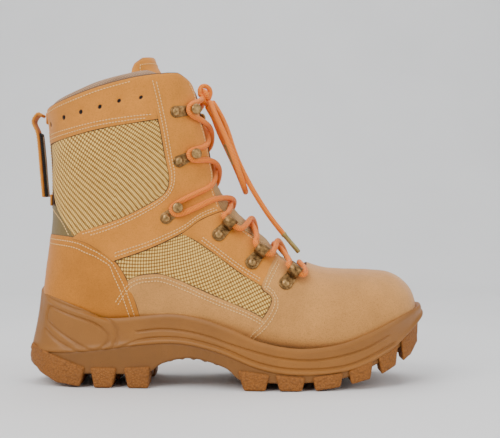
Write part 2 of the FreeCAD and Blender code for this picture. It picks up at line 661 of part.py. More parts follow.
# Where the lace passes over the throat edge: below and above each eyelet, then each hook, from the toe up.
EYELET_EDGES = [((60.5, 84.5), (49.0, 91.0)), ((36.0, 101.0), (23.5, 110.5)), ((13.5, 118.0), (1.0, 128.5))]
HOOK_EDGES = [
    ((-8.5, 141.0), (-10.8, 150.5)), ((-14.0, 172.0), (-16.0, 182.0)), ((-20.4, 201.5), (-22.6, 217.0)),
]
FACING_PLACES = ((-23.0, 133.5), (-25.0, 144.0))  # under and over the way to the lowest hook, which sits far back


def half_lace(first_side):
    """The lace from the middle of the lowest bar up to the knot."""
    side = first_side
    points = [front_point(95.0, -1.0)]
    stops = [(eyelet_ends, stop, edge) for stop, edge in zip(EYELETS[::-1], EYELET_EDGES)]
    stops += [(hook_corners, stop, edge) for stop, edge in zip(HOOKS[::-1], HOOK_EDGES)]
    for k, (ends, (place, toward), (low_edge, high_edge)) in enumerate(stops):
        middles = [FACING_PLACES[:1], FACING_PLACES[1:]] if k == 3 else [(), ()]
        for x, z in (low_edge,) + tuple(middles[0]):
            points.append(upper_point(x, z, side, EDGE_LIFT)[0])
        points += ends(place, toward, side)
        for x, z in tuple(middles[1]) + (high_edge,):
            points.append(upper_point(x, z, side, EDGE_LIFT)[0])
        if k < len(CROSSINGS):
            points.append(front_point(CROSSINGS[k], CROSS_HIGH if side > 0 else CROSS_LOW))
        side = -side
    points.append(KNOT + V(-2.5, -side * 5.0, -2.0))
    return points


KNOT = V(-16.5, 0, 222.5)
KNOT_R = 6.5
halves = [half_lace(-1), half_lace(1)]
whole = halves[0][:0:-1] + halves[1]
for p in whole:
    print("lace point (%.1f, %.1f, %.1f)" % (p.x, p.y, p.z))
write("lace_lacing", cord(whole, LACE_R, "lacing"))
write("lace_knot", Part.makeSphere(KNOT_R, KNOT))

LONG_END = [
    (-11, 0, 220), (-5, -2, 211), (1.5, -5, 197), (7, -10, 178), (16, -11, 158.5), (27, -11, 139.5),
    (38, -10, 123.5), (46.5, -9, 113.5),
]
BOW_LOOP = [
    (-12.5, -5, 219.5), (-8.5, -12, 209), (-0.5, -16, 192), (7, -17, 173.5), (12.5, -15, 158), (15.5, -8, 149.5),
    (16, 3, 147), (13.5, 11, 153.5), (8.5, 15, 166), (1, 15, 182), (-7.5, 11, 200), (-13, 5, 216.5),
]
SHORT_END = [(-15.5, 0.3, 217), (-9.5, 2, 206.5), (-3.5, 3, 195.5), (1, 3, 184)]
for name, places in (("lace_long_end", LONG_END), ("lace_bow_loop", BOW_LOOP), ("lace_short_end", SHORT_END)):
    write(name, cord([V(*p) for p in places], LACE_R, name))


def aglet(places, length):
    """The tube crimped on the end of a lace, in line with its last run."""
    last, before = V(*places[-1]), V(*places[-2])
    return Part.makeCylinder(LACE_R - 0.3, length, last, last - before)


write("aglet_long", aglet(LONG_END, 17.0))
write("aglet_short", aglet(SHORT_END, 15.0))
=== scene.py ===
import bpy
import bmesh
import math
import numpy as np
import random
from mathutils import Matrix, Vector, noise
from mathutils.geometry import delaunay_2d_cdt


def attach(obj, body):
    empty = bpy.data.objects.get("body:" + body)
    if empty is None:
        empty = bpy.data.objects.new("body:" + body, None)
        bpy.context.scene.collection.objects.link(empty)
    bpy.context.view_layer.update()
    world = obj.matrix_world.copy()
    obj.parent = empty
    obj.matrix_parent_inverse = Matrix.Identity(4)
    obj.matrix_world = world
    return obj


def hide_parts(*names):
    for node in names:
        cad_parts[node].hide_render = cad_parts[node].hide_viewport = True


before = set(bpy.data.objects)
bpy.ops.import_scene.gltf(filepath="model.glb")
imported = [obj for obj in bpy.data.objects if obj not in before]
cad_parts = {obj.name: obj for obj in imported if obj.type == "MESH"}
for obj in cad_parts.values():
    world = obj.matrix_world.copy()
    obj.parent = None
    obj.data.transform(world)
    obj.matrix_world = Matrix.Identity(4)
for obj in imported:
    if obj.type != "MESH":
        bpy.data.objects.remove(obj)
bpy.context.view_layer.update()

# ---- outsole ----
# The outsole is one piece of tan rubber, moulded with deep cleats round its edge and diamonds along its
# middle. It is cemented under the midsole, and its edge shows as a band coloured darker as painted shade, with rough
# cleat faces.
MM = 0.001
SOLE_HALF = 154.5
TOE_TIP_Y = 8.0
# x, then the half width of the sole to the outer and to the inner side of the foot
PLAN = [
    (-145, 21, 21), (-128, 33, 33), (-108, 39, 38), (-80, 41, 37), (-50, 43, 35), (-20, 48, 37),
    (10, 53.5, 43), (42, 57, 50), (72, 55, 54), (100, 48.5, 53), (124, 37, 47), (144, 17, 33),
]
RIM = [
    (-158, 76), (-145, 70.5), (-126, 65), (-109, 59.4), (-93, 52.8), (-78, 52.4), (-62, 54), (-40, 55.8),
    (-18, 52.5), (5, 44.8), (27, 35.7), (56, 30.9), (86, 33.8), (108, 42), (124, 50), (141, 57), (158, 61),
]
RIDGE = [
    (-158, 25), (-120, 26.5), (-92, 29), (-63, 32.7), (-33, 34), (-3, 27.5), (26, 16.5), (56, 12), (94, 15),
    (123, 26.5), (138, 38.5), (148, 48), (158, 56),
]
UNDERSIDE = [
    (-158, 17), (-150, 13), (-140, 11), (-120, 10), (-95, 10), (-70, 10), (-57, 11.5), (-46, 18.5),
    (-25, 22.5), (0, 16), (12, 7), (30, 5.5), (60, 5.5), (90, 8.5), (116, 18), (134, 28), (150, 41), (158, 49),
]
CLEATS = [
    [(-150.5, 31), (-105, 15), (-109, 0.8), (-128, 3), (-142, 10), (-152.5, 20)],
    [(-101, 15), (-81, 15), (-84.5, 0), (-98, 0)],
    [(-75.5, 15), (-56, 16), (-57, 0), (-72.5, 0)],
    [(10, 15), (33.5, 12), (30.5, 0), (14.5, 0)],
    [(37.5, 12), (60, 10), (57.5, 0), (41, 0)],
    [(65, 10), (88, 13), (86, 2.5), (67.5, 0)],
    [(92, 14), (111, 21), (109, 7.5), (94.5, 4)],
    [(115, 23), (131.5, 32), (130, 16), (118, 10)],
    [(134, 34), (151, 47), (150, 31), (143, 22), (136, 18)],
]
CLEAT_REACH = 25.0
STRAIGHT = 60.0  # where the outer faces stand before they are bent to the outline of the sole
TAN_RUBBER = (0.29, 0.110, 0.015)
CLEAT_RUBBER = (0.33, 0.112, 0.013)


def run_through(points, step=2.0):
    """Even points about step apart on a smooth curve through a few points."""
    rows = np.array(points, float)
    count = 24
    u = np.linspace(0, len(rows) - 1, (len(rows) - 1) * count + 1)
    curve = spread(rows, u)
    length = np.concatenate([[0], np.cumsum(np.linalg.norm(np.diff(curve, axis=0), axis=1))])
    even = np.linspace(0, length[-1], max(int(round(length[-1] / step)), 1) + 1)
    return np.stack([np.interp(even, length, curve[:, k]) for k in range(curve.shape[1])], axis=1)


def spread(rows, u):
    """Rows at the places u along a list of rows, on a smooth curve through them."""
    rows = np.asarray(rows, float)
    u = np.clip(np.asarray(u, float), 0, len(rows) - 1)
    i = np.minimum(u.astype(int), len(rows) - 2)
    t = (u - i)[..., None]
    a, b = rows[np.maximum(i - 1, 0)], rows[i]
    c, d = rows[i + 1], rows[np.minimum(i + 2, len(rows) - 1)]
    return 0.5 * (2 * b + (c - a) * t + (2 * a - 5 * b + 4 * c - d) * t**2 + (3 * b - a - 3 * c + d) * t**3)


DENSE_LINES = {}


def height_at(line, x):
    """Height of a line given as x, z points, at x."""
    key = tuple(line)
    if key not in DENSE_LINES:
        DENSE_LINES[key] = run_through(line, 1.5)
    dense = DENSE_LINES[key]
    return np.interp(x, dense[:, 0], dense[:, 1])


def plan_loop(count):
    """Points round the sole seen from above, from the heel along the outer side to the toe and back."""
    outer = [(-SOLE_HALF, 0)] + [(x, -o) for x, o, _ in PLAN] + [(SOLE_HALF, TOE_TIP_Y)]
    inner = [(SOLE_HALF, TOE_TIP_Y)] + [(x, i) for x, _, i in reversed(PLAN)] + [(-SOLE_HALF, 0)]
    ring = outer + inner[1:-1]
    closed = np.array(ring[-3:] + ring + ring[:4], float)
    u = np.linspace(3, 3 + len(ring), count * 8 + 1)
    curve = spread(closed, u)
    length = np.concatenate([[0], np.cumsum(np.linalg.norm(np.diff(curve, axis=0), axis=1))])
    even = np.linspace(0, length[-1], count + 1)[:-1]
    loop = np.stack([np.interp(even, length, curve[:, k]) for k in (0, 1)], axis=1)
    ahead = np.roll(loop, -1, axis=0) - np.roll(loop, 1, axis=0)
    out = np.stack([ahead[:, 1], -ahead[:, 0]], axis=1)
    out *= np.where((out * (loop - loop.mean(axis=0))).sum(axis=1, keepdims=True) < 0, -1, 1)
    return loop, out / np.linalg.norm(out, axis=1, keepdims=True)


def mesh_piece(name, verts, faces, materials, uvs=None, smooth=True):
    """A mesh object in the row frame from vertices in millimetres."""
    mesh = bpy.data.meshes.new(name)
    mesh.from_pydata((np.asarray(verts, float) * MM).tolist(), [], [list(map(int, f)) for f in faces])
    for item in materials if isinstance(materials, list) else [materials]:
        mesh.materials.append(item)
    if smooth:
        mesh.polygons.foreach_set("use_smooth", [True] * len(mesh.polygons))
    if uvs is not None:
        layer = mesh.uv_layers.new(name="Cloth")
        index = np.empty(len(mesh.loops), int)
        mesh.loops.foreach_get("vertex_index", index)
        layer.data.foreach_set("uv", (np.asarray(uvs, float)[index] * MM * 100).ravel())
    mesh.update()
    piece = bpy.data.objects.new(name, mesh)
    bpy.context.scene.collection.objects.link(piece)
    return piece


def ring_faces(rows, count, first=0, flip=False):
    """Quads between rows of closed rings of count vertices each."""
    faces = []
    for r in range(rows - 1):
        for i in range(count):
            j = (i + 1) % count
            a, b = first + r * count + i, first + r * count + j
            quad = (a, b, b + count, a + count)
            faces.append(quad[::-1] if flip else quad)
    return faces


class Finish:
    """A material with one shader, and short ways to add its nodes."""

    def __init__(self, name, roughness=0.7, **sockets):
        self.material = bpy.data.materials.new(name)
        self.material.use_nodes = True
        self.tree = self.material.node_tree
        self.shader = self.tree.nodes["Principled BSDF"]
        self.shader.inputs["Roughness"].default_value = roughness
        for socket, value in sockets.items():
            self.shader.inputs[socket.replace("_", " ")].default_value = value
        self.place = self.tree.nodes.new("ShaderNodeTexCoord")
        self.normal = None

    def node(self, kind, *inputs, **settings):
        made = self.tree.nodes.new("ShaderNode" + kind)
        for key, value in settings.items():
            setattr(made, key, value)
        for socket, value in inputs:
            if isinstance(value, bpy.types.NodeSocket):
                self.tree.links.new(value, made.inputs[socket])
            elif value is not None:
                made.inputs[socket].default_value = value
        return made

    def grain(self, scale, detail=3.0, rough=0.6, stretch=None, kind="Noise"):
        """A noise with scale cells a metre, in the frame of the object."""
        place = self.place.outputs["Object"]
        if stretch:
            place = self.node("Mapping", ("Vector", place), ("Scale", stretch)).outputs[0]
        if kind == "Voronoi":
            return self.node("TexVoronoi", ("Vector", place), ("Scale", scale)).outputs["Distance"]
        made = self.node("TexNoise", ("Vector", place), ("Scale", scale), ("Detail", detail), ("Roughness", rough))
        return made.outputs["Fac"]

    def maths(self, kind, a, b=None, c=None):
        inputs = [(k, v) for k, v in ((0, a), (1, b), (2, c)) if v is not None]
        return self.node("Math", *inputs, operation=kind).outputs[0]

    def ramp(self, value, stops):
        made = self.node("ValToRGB", ("Fac", value))
        band = made.color_ramp
        while len(band.elements) < len(stops):
            band.elements.new(0.5)
        for element, (at, colour) in zip(band.elements, stops):
            element.position = at
            element.color = (*colour, 1)
        return made.outputs["Color"]

    def mix(self, factor, a, b, blend="MIX"):
        made = self.node("Mix", data_type="RGBA", blend_type=blend)
        for socket, value in ((made.inputs[0], factor), (made.inputs[6], a), (made.inputs[7], b)):
            if isinstance(value, bpy.types.NodeSocket):
                self.tree.links.new(value, socket)
            elif isinstance(value, tuple):
                socket.default_value = (*value, 1)
            else:
                socket.default_value = value
        return made.outputs[2]

    def colour(self, value):
        self.tree.links.new(value, self.shader.inputs["Base Color"])

    def rough(self, value, low, high):
        span = self.node("MapRange", ("Value", value), ("To Min", low), ("To Max", high))
        self.tree.links.new(span.outputs[0], self.shader.inputs["Roughness"])

    def bump(self, height, distance, strength=1.0):
        """Adds relief of distance millimetres on top of any before it."""
        inputs = [("Height", height), ("Distance", distance * MM), ("Strength", strength)]
        if self.normal is not None:
            inputs.append(("Normal", self.normal))
        self.normal = self.node("Bump", *inputs).outputs[0]
        self.tree.links.new(self.normal, self.shader.inputs["Normal"])


def shade(colour, factor):
    return tuple(c * factor for c in colour)


def rubber_finish(name, colour, pebble):
    """Matt-satin rubber: cloudy tone, fine pores, and a coarse pebble where the mould is textured."""
    made = Finish(name, 0.5, Specular_IOR_Level=0.42)
    cloud = made.grain(24, 4)
    tone = made.ramp(cloud, [(0.3, shade(colour, 0.86)), (0.55, colour), (0.75, shade(colour, 1.12))])
    specks = made.grain(1400, 2)
    tone = made.mix(made.maths("GREATER_THAN", specks, 0.66), tone, shade(colour, 0.72))
    if pebble:
        cells = made.grain(620, kind="Voronoi")
        tone = made.mix(made.maths("MULTIPLY", cells, 0.9), tone, shade(colour, 0.55))
        made.bump(cells, 0.9, 0.9)
    made.colour(tone)
    made.rough(made.grain(90, 3), 0.40 if not pebble else 0.6, 0.62 if not pebble else 0.85)
    made.bump(made.grain(1500, 2), 0.10, 0.5)
    return made.material


tan_rubber = rubber_finish("tan_rubber", TAN_RUBBER, False)
# The outsole edge takes the tan rubber darkened to 0.72: painted shade on the low band of the sole.
painted_shade_base_rubber = rubber_finish("painted_shade_base_rubber", shade(TAN_RUBBER, 0.72), False)
cleat_rubber = rubber_finish("cleat_rubber", CLEAT_RUBBER, True)


def sole_point(loop, out, z, swell):
    """Places on the side of the sole at height z, moved out by swell; the heel slopes forward as it rises."""
    x = loop[:, 0]
    back = np.clip((-100 - x) / 50, 0, 1)
    slope = np.clip((z - 20) / 50, 0, 1.3) * 8.5 * back * back
    front = np.clip((x - 120) / 34, 0, 1)
    tuck = np.clip(np.abs(z - 40) / 20, 0, 1.4) ** 2 * 2.2 * front * front
    return np.stack([x + out[:, 0] * swell + slope - tuck, loop[:, 1] + out[:, 1] * swell, z], axis=1)


def bottom_fill(ring, first, z_line, steps, rib):
    """Rows across the underside, from each point of the outer side of ring to the one facing it."""
    count = len(ring)
    half = count // 2
    verts, lines = [], []
    share = np.linspace(0, 1, steps + 1)[1:-1, None]
    for i in range(1, half):
        row = ring[i] * (1 - share) + ring[count - i] * share
        row[:, 2] = height_at(z_line, row[:, 0])
        arch = np.clip(1 - np.abs(row[:, 0] + 24) / 30, 0, 1) ** 0.5
        row[:, 2] -= rib * arch * (0.5 + 0.5 * np.sin(row[:, 0] * 2 * np.pi / 8.5))
        at = first + count + len(verts)
        lines.append([first + i] + list(range(at, at + len(row))) + [first + count - i])
        verts += list(row)
    faces = []
    for line, after in zip(lines, lines[1:]):
        for k in range(steps):
            faces.append((line[k], line[k + 1], after[k + 1], after[k]))
    for k in range(steps):
        faces.append((first, lines[0][k + 1], lines[0][k]))
        faces.append((first + half, lines[-1][k], lines[-1][k + 1]))
    return np.array(verts), faces


SIDE_COUNT = 520
side_loop, side_out = plan_loop(SIDE_COUNT)
side_x = side_loop[:, 0]
ridge_z = height_at(RIDGE, side_x)
under_z = height_at(UNDERSIDE, side_x)
rows = []
EDGE_ROUND = [(-6.0, 0.8), (-1.2, 0.4), (-0.2, -0.5), (0.1, -2.0)]
for swell, drop in EDGE_ROUND:
    rows.append(sole_point(side_loop, side_out, ridge_z + drop, swell - 0.9))
for t in np.linspace(0.15, 1.0, 10):
    wave = 0.35 * np.sin(side_x * 2 * np.pi / 9.0) * np.clip(1 - np.abs(side_x + 20) / 40, 0, 1)
    rows.append(sole_point(side_loop, side_out, ridge_z - 2 + (under_z - ridge_z + 3.5) * t, -0.9 + wave))
rows.append(sole_point(side_loop, side_out, under_z + 0.3, -1.7))
last_row = sole_point(side_loop, side_out, under_z, -3.2)
rows.append(last_row)
first = (len(rows) - 1) * SIDE_COUNT
fill, fill_faces = bottom_fill(last_row, first, UNDERSIDE, 18, 1.6)
verts = np.concatenate(rows + [fill])
faces = ring_faces(len(rows), SIDE_COUNT) + fill_faces
outsole_edge = mesh_piece("outsole_base", verts, faces, painted_shade_base_rubber)


def close_ends(piece):
    """Fills the open rings of a mesh with flat faces and turns all faces outward."""
    work = bmesh.new()
    work.from_mesh(piece.data)
    bmesh.ops.remove_doubles(work, verts=work.verts, dist=1e-6)
    edges = [e for e in work.edges if e.is_boundary]
    bmesh.ops.holes_fill(work, edges=edges, sides=0)
    bmesh.ops.recalc_face_normals(work, faces=work.faces)
    work.to_mesh(piece.data)
    work.free()


close_ends(outsole_edge)
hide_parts("outsole")
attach(outsole_edge, "root")


def plan_width(x, side):
    """Half width of the sole at x on the outer side, -1, or on the inner side, 1."""
    run = side_loop[side_loop[:, 1] * side > -1.0]
    run = run[np.argsort(run[:, 0])]
    return np.interp(x, run[:, 0], np.abs(run[:, 1]), left=0.0, right=4.0)


def rough_block(work, ring, outer_y, inner_y):
    """A rounded cleat: an outline in x and z, carried from outer_y at each corner in to inner_y."""
    near = [work.verts.new(Vector((x, y, z)) * MM) for (x, z), y in zip(ring, outer_y)]
    far = [work.verts.new(Vector((x, y, z)) * MM) for (x, z), y in zip(ring, inner_y)]
    count = len(ring)
    faces = [work.faces.new(near), work.faces.new(far[::-1])]
    for i in range(count):
        j = (i + 1) % count
        faces.append(work.faces.new((near[j], near[i], far[i], far[j])))
    edges = list({e for f in faces for e in f.edges})
    made = bmesh.ops.bevel(work, geom=edges, offset=1.7 * MM, segments=2, affect="EDGES", profile=0.6)
    return made


def cleat_blocks():
    """The outer and inner rows of cleats, the bars of the heel and the diamonds of the forefoot."""
    work = bmesh.new()
    for ring in CLEATS:
        for side in (-1, 1):
            rough_block(work, ring, [side * STRAIGHT] * len(ring), [side * (STRAIGHT - CLEAT_REACH)] * len(ring))
    for x in (-118.0, -90.0, -66.0):
        bar = [(x - 9, 11), (x + 9, 11), (x + 7.5, 1.2), (x - 7.5, 1.2)]
        rough_block(work, bar, [-11] * 4, [12] * 4)
    for x, half in ((24, 15), (50, 17), (76, 17), (102, 15)):
        low = float(height_at(UNDERSIDE, x)) - 4.5
        corners = [Vector((x - half, 2, 0)), Vector((x, -14, 0)), Vector((x + half, 2, 0)), Vector((x, 18, 0))]
        top = [work.verts.new((c + Vector((0, 0, low + 9))) * MM) for c in corners]
        bottom = [work.verts.new((c * 1.0 + Vector((0, 0, low))) * MM) for c in corners]
        faces = [work.faces.new(top), work.faces.new(bottom[::-1])]
        for i in range(4):
            j = (i + 1) % 4
            faces.append(work.faces.new((top[j], top[i], bottom[i], bottom[j])))
        edges = list({e for f in faces for e in f.edges})
        bmesh.ops.bevel(work, geom=edges, offset=1.5 * MM, segments=2, affect="EDGES")
    bmesh.ops.recalc_face_normals(work, faces=work.faces)
    long_edges = [e for e in work.edges if e.calc_length() > 5 * MM]
    bmesh.ops.subdivide_edges(work, edges=long_edges, cuts=3, use_grid_fill=True)
    bmesh.ops.triangulate(work, faces=[f for f in work.faces if len(f.verts) > 4])
    for vert in work.verts:
        x, y = vert.co.x / MM, vert.co.y / MM
        if abs(y) > 26:
            side = 1 if y > 0 else -1
            width = float(plan_width(x, side)) + 1.2
            vert.co.y = side * max(abs(y) - STRAIGHT + width, 1.0 + 0.03 * abs(y)) * MM
    bmesh.ops.recalc_face_normals(work, faces=work.faces)
    for vert in work.verts:
        push = noise.noise(vert.co * 420) * 0.30 * MM
        vert.co += vert.normal * push
        vert.co.z = max(vert.co.z, 0.0)
    mesh = bpy.data.meshes.new("outsole_cleats")
    work.to_mesh(mesh)
    work.free()
    mesh.materials.append(cleat_rubber)
    mesh.polygons.foreach_set("use_smooth", [True] * len(mesh.polygons))
    piece = bpy.data.objects.new("outsole_cleats", mesh)
    bpy.context.scene.collection.objects.link(piece)
    return piece


cleats = cleat_blocks()
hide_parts("outsole")
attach(cleats, "root")

# ---- upper: the surface of the last ----
# Every leather and cloth piece of the upper was stretched over one last, so each lies on the surface of
# that last. A row holds the ends, half width, widest place, two roundnesses and lean of one section.
LAST = np.array([
    (150.8, 47, 150.8, 55, 5, 0.45, 2.4, 2.2, 7.5),
    (148.6, 44, 148.6, 59, 14, 0.45, 2.4, 2.2, 7), (145.5, 37, 145.5, 69.5, 25, 0.42, 2.6, 2.2, 7),
    (139, 32, 139, 77.5, 34, 0.42, 2.8, 2.3, 6.5), (128, 28, 128, 84, 42, 0.42, 3, 2.3, 6),
    (112, 24, 112, 85.6, 47, 0.42, 3, 2.3, 4.5), (92, 21, 91, 86.2, 49.5, 0.40, 3, 2.2, 2.5),
    (70, 20, 69, 89.5, 50, 0.38, 3, 2.1, 1), (46, 21, 47, 101.5, 49.5, 0.38, 3, 2.1, 0),
    (20, 24, 27, 118, 47, 0.37, 2.9, 2.1, -1), (-8, 29, 12.5, 131.5, 44.5, 0.36, 2.8, 2.2, -1.5),
    (-38, 34.5, 3, 142, 42.5, 0.36, 2.7, 2.3, -1.5), (-70, 37.5, -3, 151, 41, 0.38, 2.6, 2.4, -1),
    (-104, 37.5, -6.8, 159.5, 40, 0.40, 2.5, 2.5, -0.5), (-132, 43, -9.5, 167.5, 39.5, 0.43, 2.4, 2.6, 0),
    (-141.5, 62, -11.5, 176, 39.5, 0.45, 2.3, 2.6, 0), (-140.5, 82, -13, 184, 39.5, 0.45, 2.2, 2.7, 0),
    (-138, 100, -14.6, 192, 39.5, 0.45, 2.2, 2.7, 0), (-136, 118, -16.4, 200, 39.8, 0.45, 2.2, 2.8, 0),
    (-134.8, 140, -18.6, 210, 40.3, 0.45, 2.2, 2.8, 0), (-134.8, 163, -21, 220.5, 41.2, 0.45, 2.2, 2.8, 0),
    (-136.5, 187, -23.5, 231, 42.2, 0.45, 2.2, 2.8, 0), (-138.5, 207, -25.5, 241, 43, 0.45, 2.2, 2.8, 0),
    (-142, 240, -29, 262, 44, 0.45, 2.2, 2.8, 0),
])
NUBUCK = (0.69, 0.255, 0.033)
COUNTER = (0.58, 0.205, 0.023)
SUEDE = (0.63, 0.290, 0.076)
RAW_EDGE = (0.055, 0.028, 0.014)
THREAD = (0.80, 0.50, 0.19)
LAST_ENDS = len(LAST) - 1.0
TURNS = np.linspace(0, math.pi, 241)
EVEN = np.linspace(0, 1, 121)


def power_of(turn, low, high):
    return np.where(np.cos(turn) > 0, high, low)


def last_place(u, turn, side):
    """Points on the last at section u and turn, from 0 at its top to pi at its bottom."""
    bx, bz, tx, tz, half, widest, low, high, lean = np.moveaxis(spread(LAST, u), -1, 0)
    power = power_of(turn, low, high)
    reach = np.abs(np.cos(turn)) ** (2 / power)
    along = np.where(np.cos(turn) > 0, widest + (1 - widest) * reach, widest - widest * reach)
    out = half * np.abs(np.sin(turn)) ** (2 / power)
    return np.stack([bx + (tx - bx) * along, lean + side * out, bz + (tz - bz) * along], axis=-1)


def even_turns():
    """For closely spaced sections, the turns at even distances round the section, and its half girth."""
    table, girths = [], []
    for u in np.linspace(0, LAST_ENDS, 23 * 6):
        ring = last_place(np.full(TURNS.shape, u), TURNS, 1.0)
        length = np.concatenate([[0], np.cumsum(np.linalg.norm(np.diff(ring, axis=0), axis=1))])
        table.append(np.interp(EVEN * length[-1], length, TURNS))
        girths.append(length[-1])
    return np.array(table), np.array(girths)


TURN_TABLE, GIRTHS = even_turns()
TABLE_U = np.linspace(0, LAST_ENDS, len(GIRTHS))
MIDDLE_LINE = last_place(TABLE_U, np.full(TABLE_U.shape, math.pi * 0.5), 0.0)
TRAVEL = np.concatenate([[0], np.cumsum(np.linalg.norm(np.diff(MIDDLE_LINE, axis=0), axis=1))])


def turn_at(u, q):
    """Turn at the share q of the way round from the top, by straight lines between table entries."""
    place = np.clip(np.asarray(u) / LAST_ENDS, 0, 1) * (len(GIRTHS) - 1)
    row = np.minimum(place.astype(int), len(GIRTHS) - 2)
    along = np.clip(q, 0, 1) * (len(EVEN) - 1)
    column = np.minimum(along.astype(int), len(EVEN) - 2)
    s, t = place - row, along - column
    low = TURN_TABLE[row, column] * (1 - t) + TURN_TABLE[row, column + 1] * t
    high = TURN_TABLE[row + 1, column] * (1 - t) + TURN_TABLE[row + 1, column + 1] * t
    return low * (1 - s) + high * s


def on_last(u, v):
    """Points at section u and way round v: 0 at the top, 1 or -1 at the bottom, negative to the outer side."""
    v = (np.asarray(v) + 1) % 2 - 1
    return last_place(u, turn_at(u, np.abs(v)), np.where(v < 0, -1.0, 1.0))


def surface(u, v, lift=0.0):
    """Points over the last raised by lift, and the directions that face out."""
    u = np.clip(np.asarray(u, float), 0.03, LAST_ENDS - 0.03)
    here = on_last(u, v)
    du = on_last(u + 0.03, v) - on_last(u - 0.03, v)
    dv = on_last(u, v + 0.006) - on_last(u, v - 0.006)
    out = np.cross(dv, du)
    out /= np.linalg.norm(out, axis=-1, keepdims=True) + 1e-9
    centre = last_place(u, np.full(u.shape, math.pi * 0.5), 0.0)
    out *= np.where(((here - centre) * out).sum(axis=-1, keepdims=True) < 0, -1, 1)
    return here + out * np.asarray(lift)[..., None], out


def flat(u, v, centre):
    """Millimetre coordinates of surface places on a flat pattern whose middle line is at v = centre."""
    return np.stack([np.interp(u, TABLE_U, TRAVEL), (np.asarray(v) - centre) * np.interp(u, TABLE_U, GIRTHS)], axis=-1)


def unflat(points, centre):
    u = np.interp(points[..., 0], TRAVEL, TABLE_U)
    return u, centre + points[..., 1] / np.interp(u, TABLE_U, GIRTHS)


def locate(line, side):
    """Surface places u, v of x, z points in the side view, on one side."""
    line = np.asarray(line, float)
    x, z = line[:, 0], line[:, 1]
    low, high = np.zeros(len(x)), np.full(len(x), LAST_ENDS)
    for _ in range(30):
        mid = (low + high) / 2
        bx, bz, tx, tz = np.moveaxis(spread(LAST, mid), -1, 0)[:4]
        ahead = (tx - bx) * (z - bz) - (tz - bz) * (x - bx) > 0
        low, high = np.where(ahead, mid, low), np.where(ahead, high, mid)
    bx, bz, tx, tz, half, widest, rb, rt, lean = np.moveaxis(spread(LAST, low), -1, 0)
    along = ((x - bx) * (tx - bx) + (z - bz) * (tz - bz)) / ((tx - bx) ** 2 + (tz - bz) ** 2)
    along = np.clip(along, 0, 1)
    upper_part = along > widest
    reach = np.where(upper_part, (along - widest) / (1 - widest), (widest - along) / widest)
    turn = np.arccos(np.clip(reach, 0, 1) ** (np.where(upper_part, rt, rb) / 2))
    turn = np.where(upper_part, turn, math.pi - turn)
    rows = np.stack([turn_at(low, np.full(len(x), q)) for q in EVEN], axis=1)
    v = np.array([np.interp(t, row, EVEN) for t, row in zip(turn, rows)])
    return low, side * v


def pattern(line, side, centre, step=2.0):
    """A smooth side-view line laid on the flat pattern."""
    u, v = locate(run_through(line, step), side)
    if centre == 1.0 and side < 0:
        v = v + 2.0
    return flat(u, v, centre)


def inside(points, ring):
    """Which points lie inside a closed ring."""
    x, y = points[:, 0], points[:, 1]
    hit = np.zeros(len(points), bool)
    for a, b in zip(ring, np.roll(ring, -1, axis=0)):
        cross = (a[1] > y) != (b[1] > y)
        with np.errstate(divide="ignore", invalid="ignore"):
            at = (b[0] - a[0]) * (y - a[1]) / (b[1] - a[1]) + a[0]
        hit ^= cross & (x < at)
    return hit


def clear_of(points, ring):
    """Distance of each point from a closed ring."""
    best = np.full(len(points), 1e9)
    for a, b in zip(ring, np.roll(ring, -1, axis=0)):
        along = b - a
        t = np.clip(((points - a) @ along) / max(along @ along, 1e-9), 0, 1)
        best = np.minimum(best, np.linalg.norm(points - a - t[:, None] * along, axis=1))
    return best


def tidy_ring(ring, step):
    """A closed ring with even steps and no repeated points."""
    ring = np.concatenate([ring, ring[:1]])
    length = np.concatenate([[0], np.cumsum(np.linalg.norm(np.diff(ring, axis=0), axis=1))])
    keep = np.concatenate([[True], np.diff(length) > 1e-6])
    count = max(int(length[-1] / step), 12)
    even = np.linspace(0, length[-1], count + 1)[:-1]
    return np.stack([np.interp(even, length[keep], ring[keep, k]) for k in (0, 1)], axis=1)


def offset_ring(ring, distance):
    """The ring moved inward by distance."""
    ahead = np.roll(ring, -1, axis=0) - np.roll(ring, 1, axis=0)
    side = np.stack([-ahead[:, 1], ahead[:, 0]], axis=1)
    side /= np.linalg.norm(side, axis=1, keepdims=True) + 1e-9
    area = np.sum(ring[:, 0] * np.roll(ring[:, 1], -1) - np.roll(ring[:, 0], -1) * ring[:, 1])
    return ring + side * distance * (1 if area > 0 else -1)


def panel(name, ring, centre, lift, thick, materials, holes=(), step=2.6, swell=0.0, creases=0.35):
    """A cut panel with rolled edges, lying on the last: ring and holes are outlines on the flat pattern."""
    ring = tidy_ring(ring, step * 0.7)
    loops = [ring] + [np.asarray(h, float) for h in holes]
    low, high = ring.min(axis=0), ring.max(axis=0)
    gx, gy = np.meshgrid(np.arange(low[0], high[0], step), np.arange(low[1], high[1], step * 0.87))
    gx[1::2] += step / 2
    grid = np.stack([gx.ravel(), gy.ravel()], axis=1)
    grid = grid[inside(grid, ring)]
    near = np.full(len(grid), 1e9)
    for loop in loops:
        near = np.minimum(near, clear_of(grid, loop))
    for hole in loops[1:]:
        grid, near = grid[~inside(grid, hole)], near[~inside(grid, hole)]
    grid = grid[near > step * 0.5]
    points = np.concatenate(loops + [grid])
    edges, start = [], 0
    for loop in loops:
        edges += [(start + i, start + (i + 1) % len(loop)) for i in range(len(loop))]
        start += len(loop)
    made = delaunay_2d_cdt([Vector(p) for p in points], edges, [], 2 if holes else 1, 1e-4)
    spots = np.array([tuple(p) for p in made[0]])
    tris = [tuple(f) for f in made[2]]
    if holes:
        mid = np.array([spots[list(f)].mean(axis=0) for f in tris])
        keep = inside(mid, ring)
        for hole in loops[1:]:
            keep &= ~inside(mid, hole)
        tris = [f for f, k in zip(tris, keep) if k]
    return shell(name, spots, tris, centre, lift, thick, materials, swell, creases, ring)


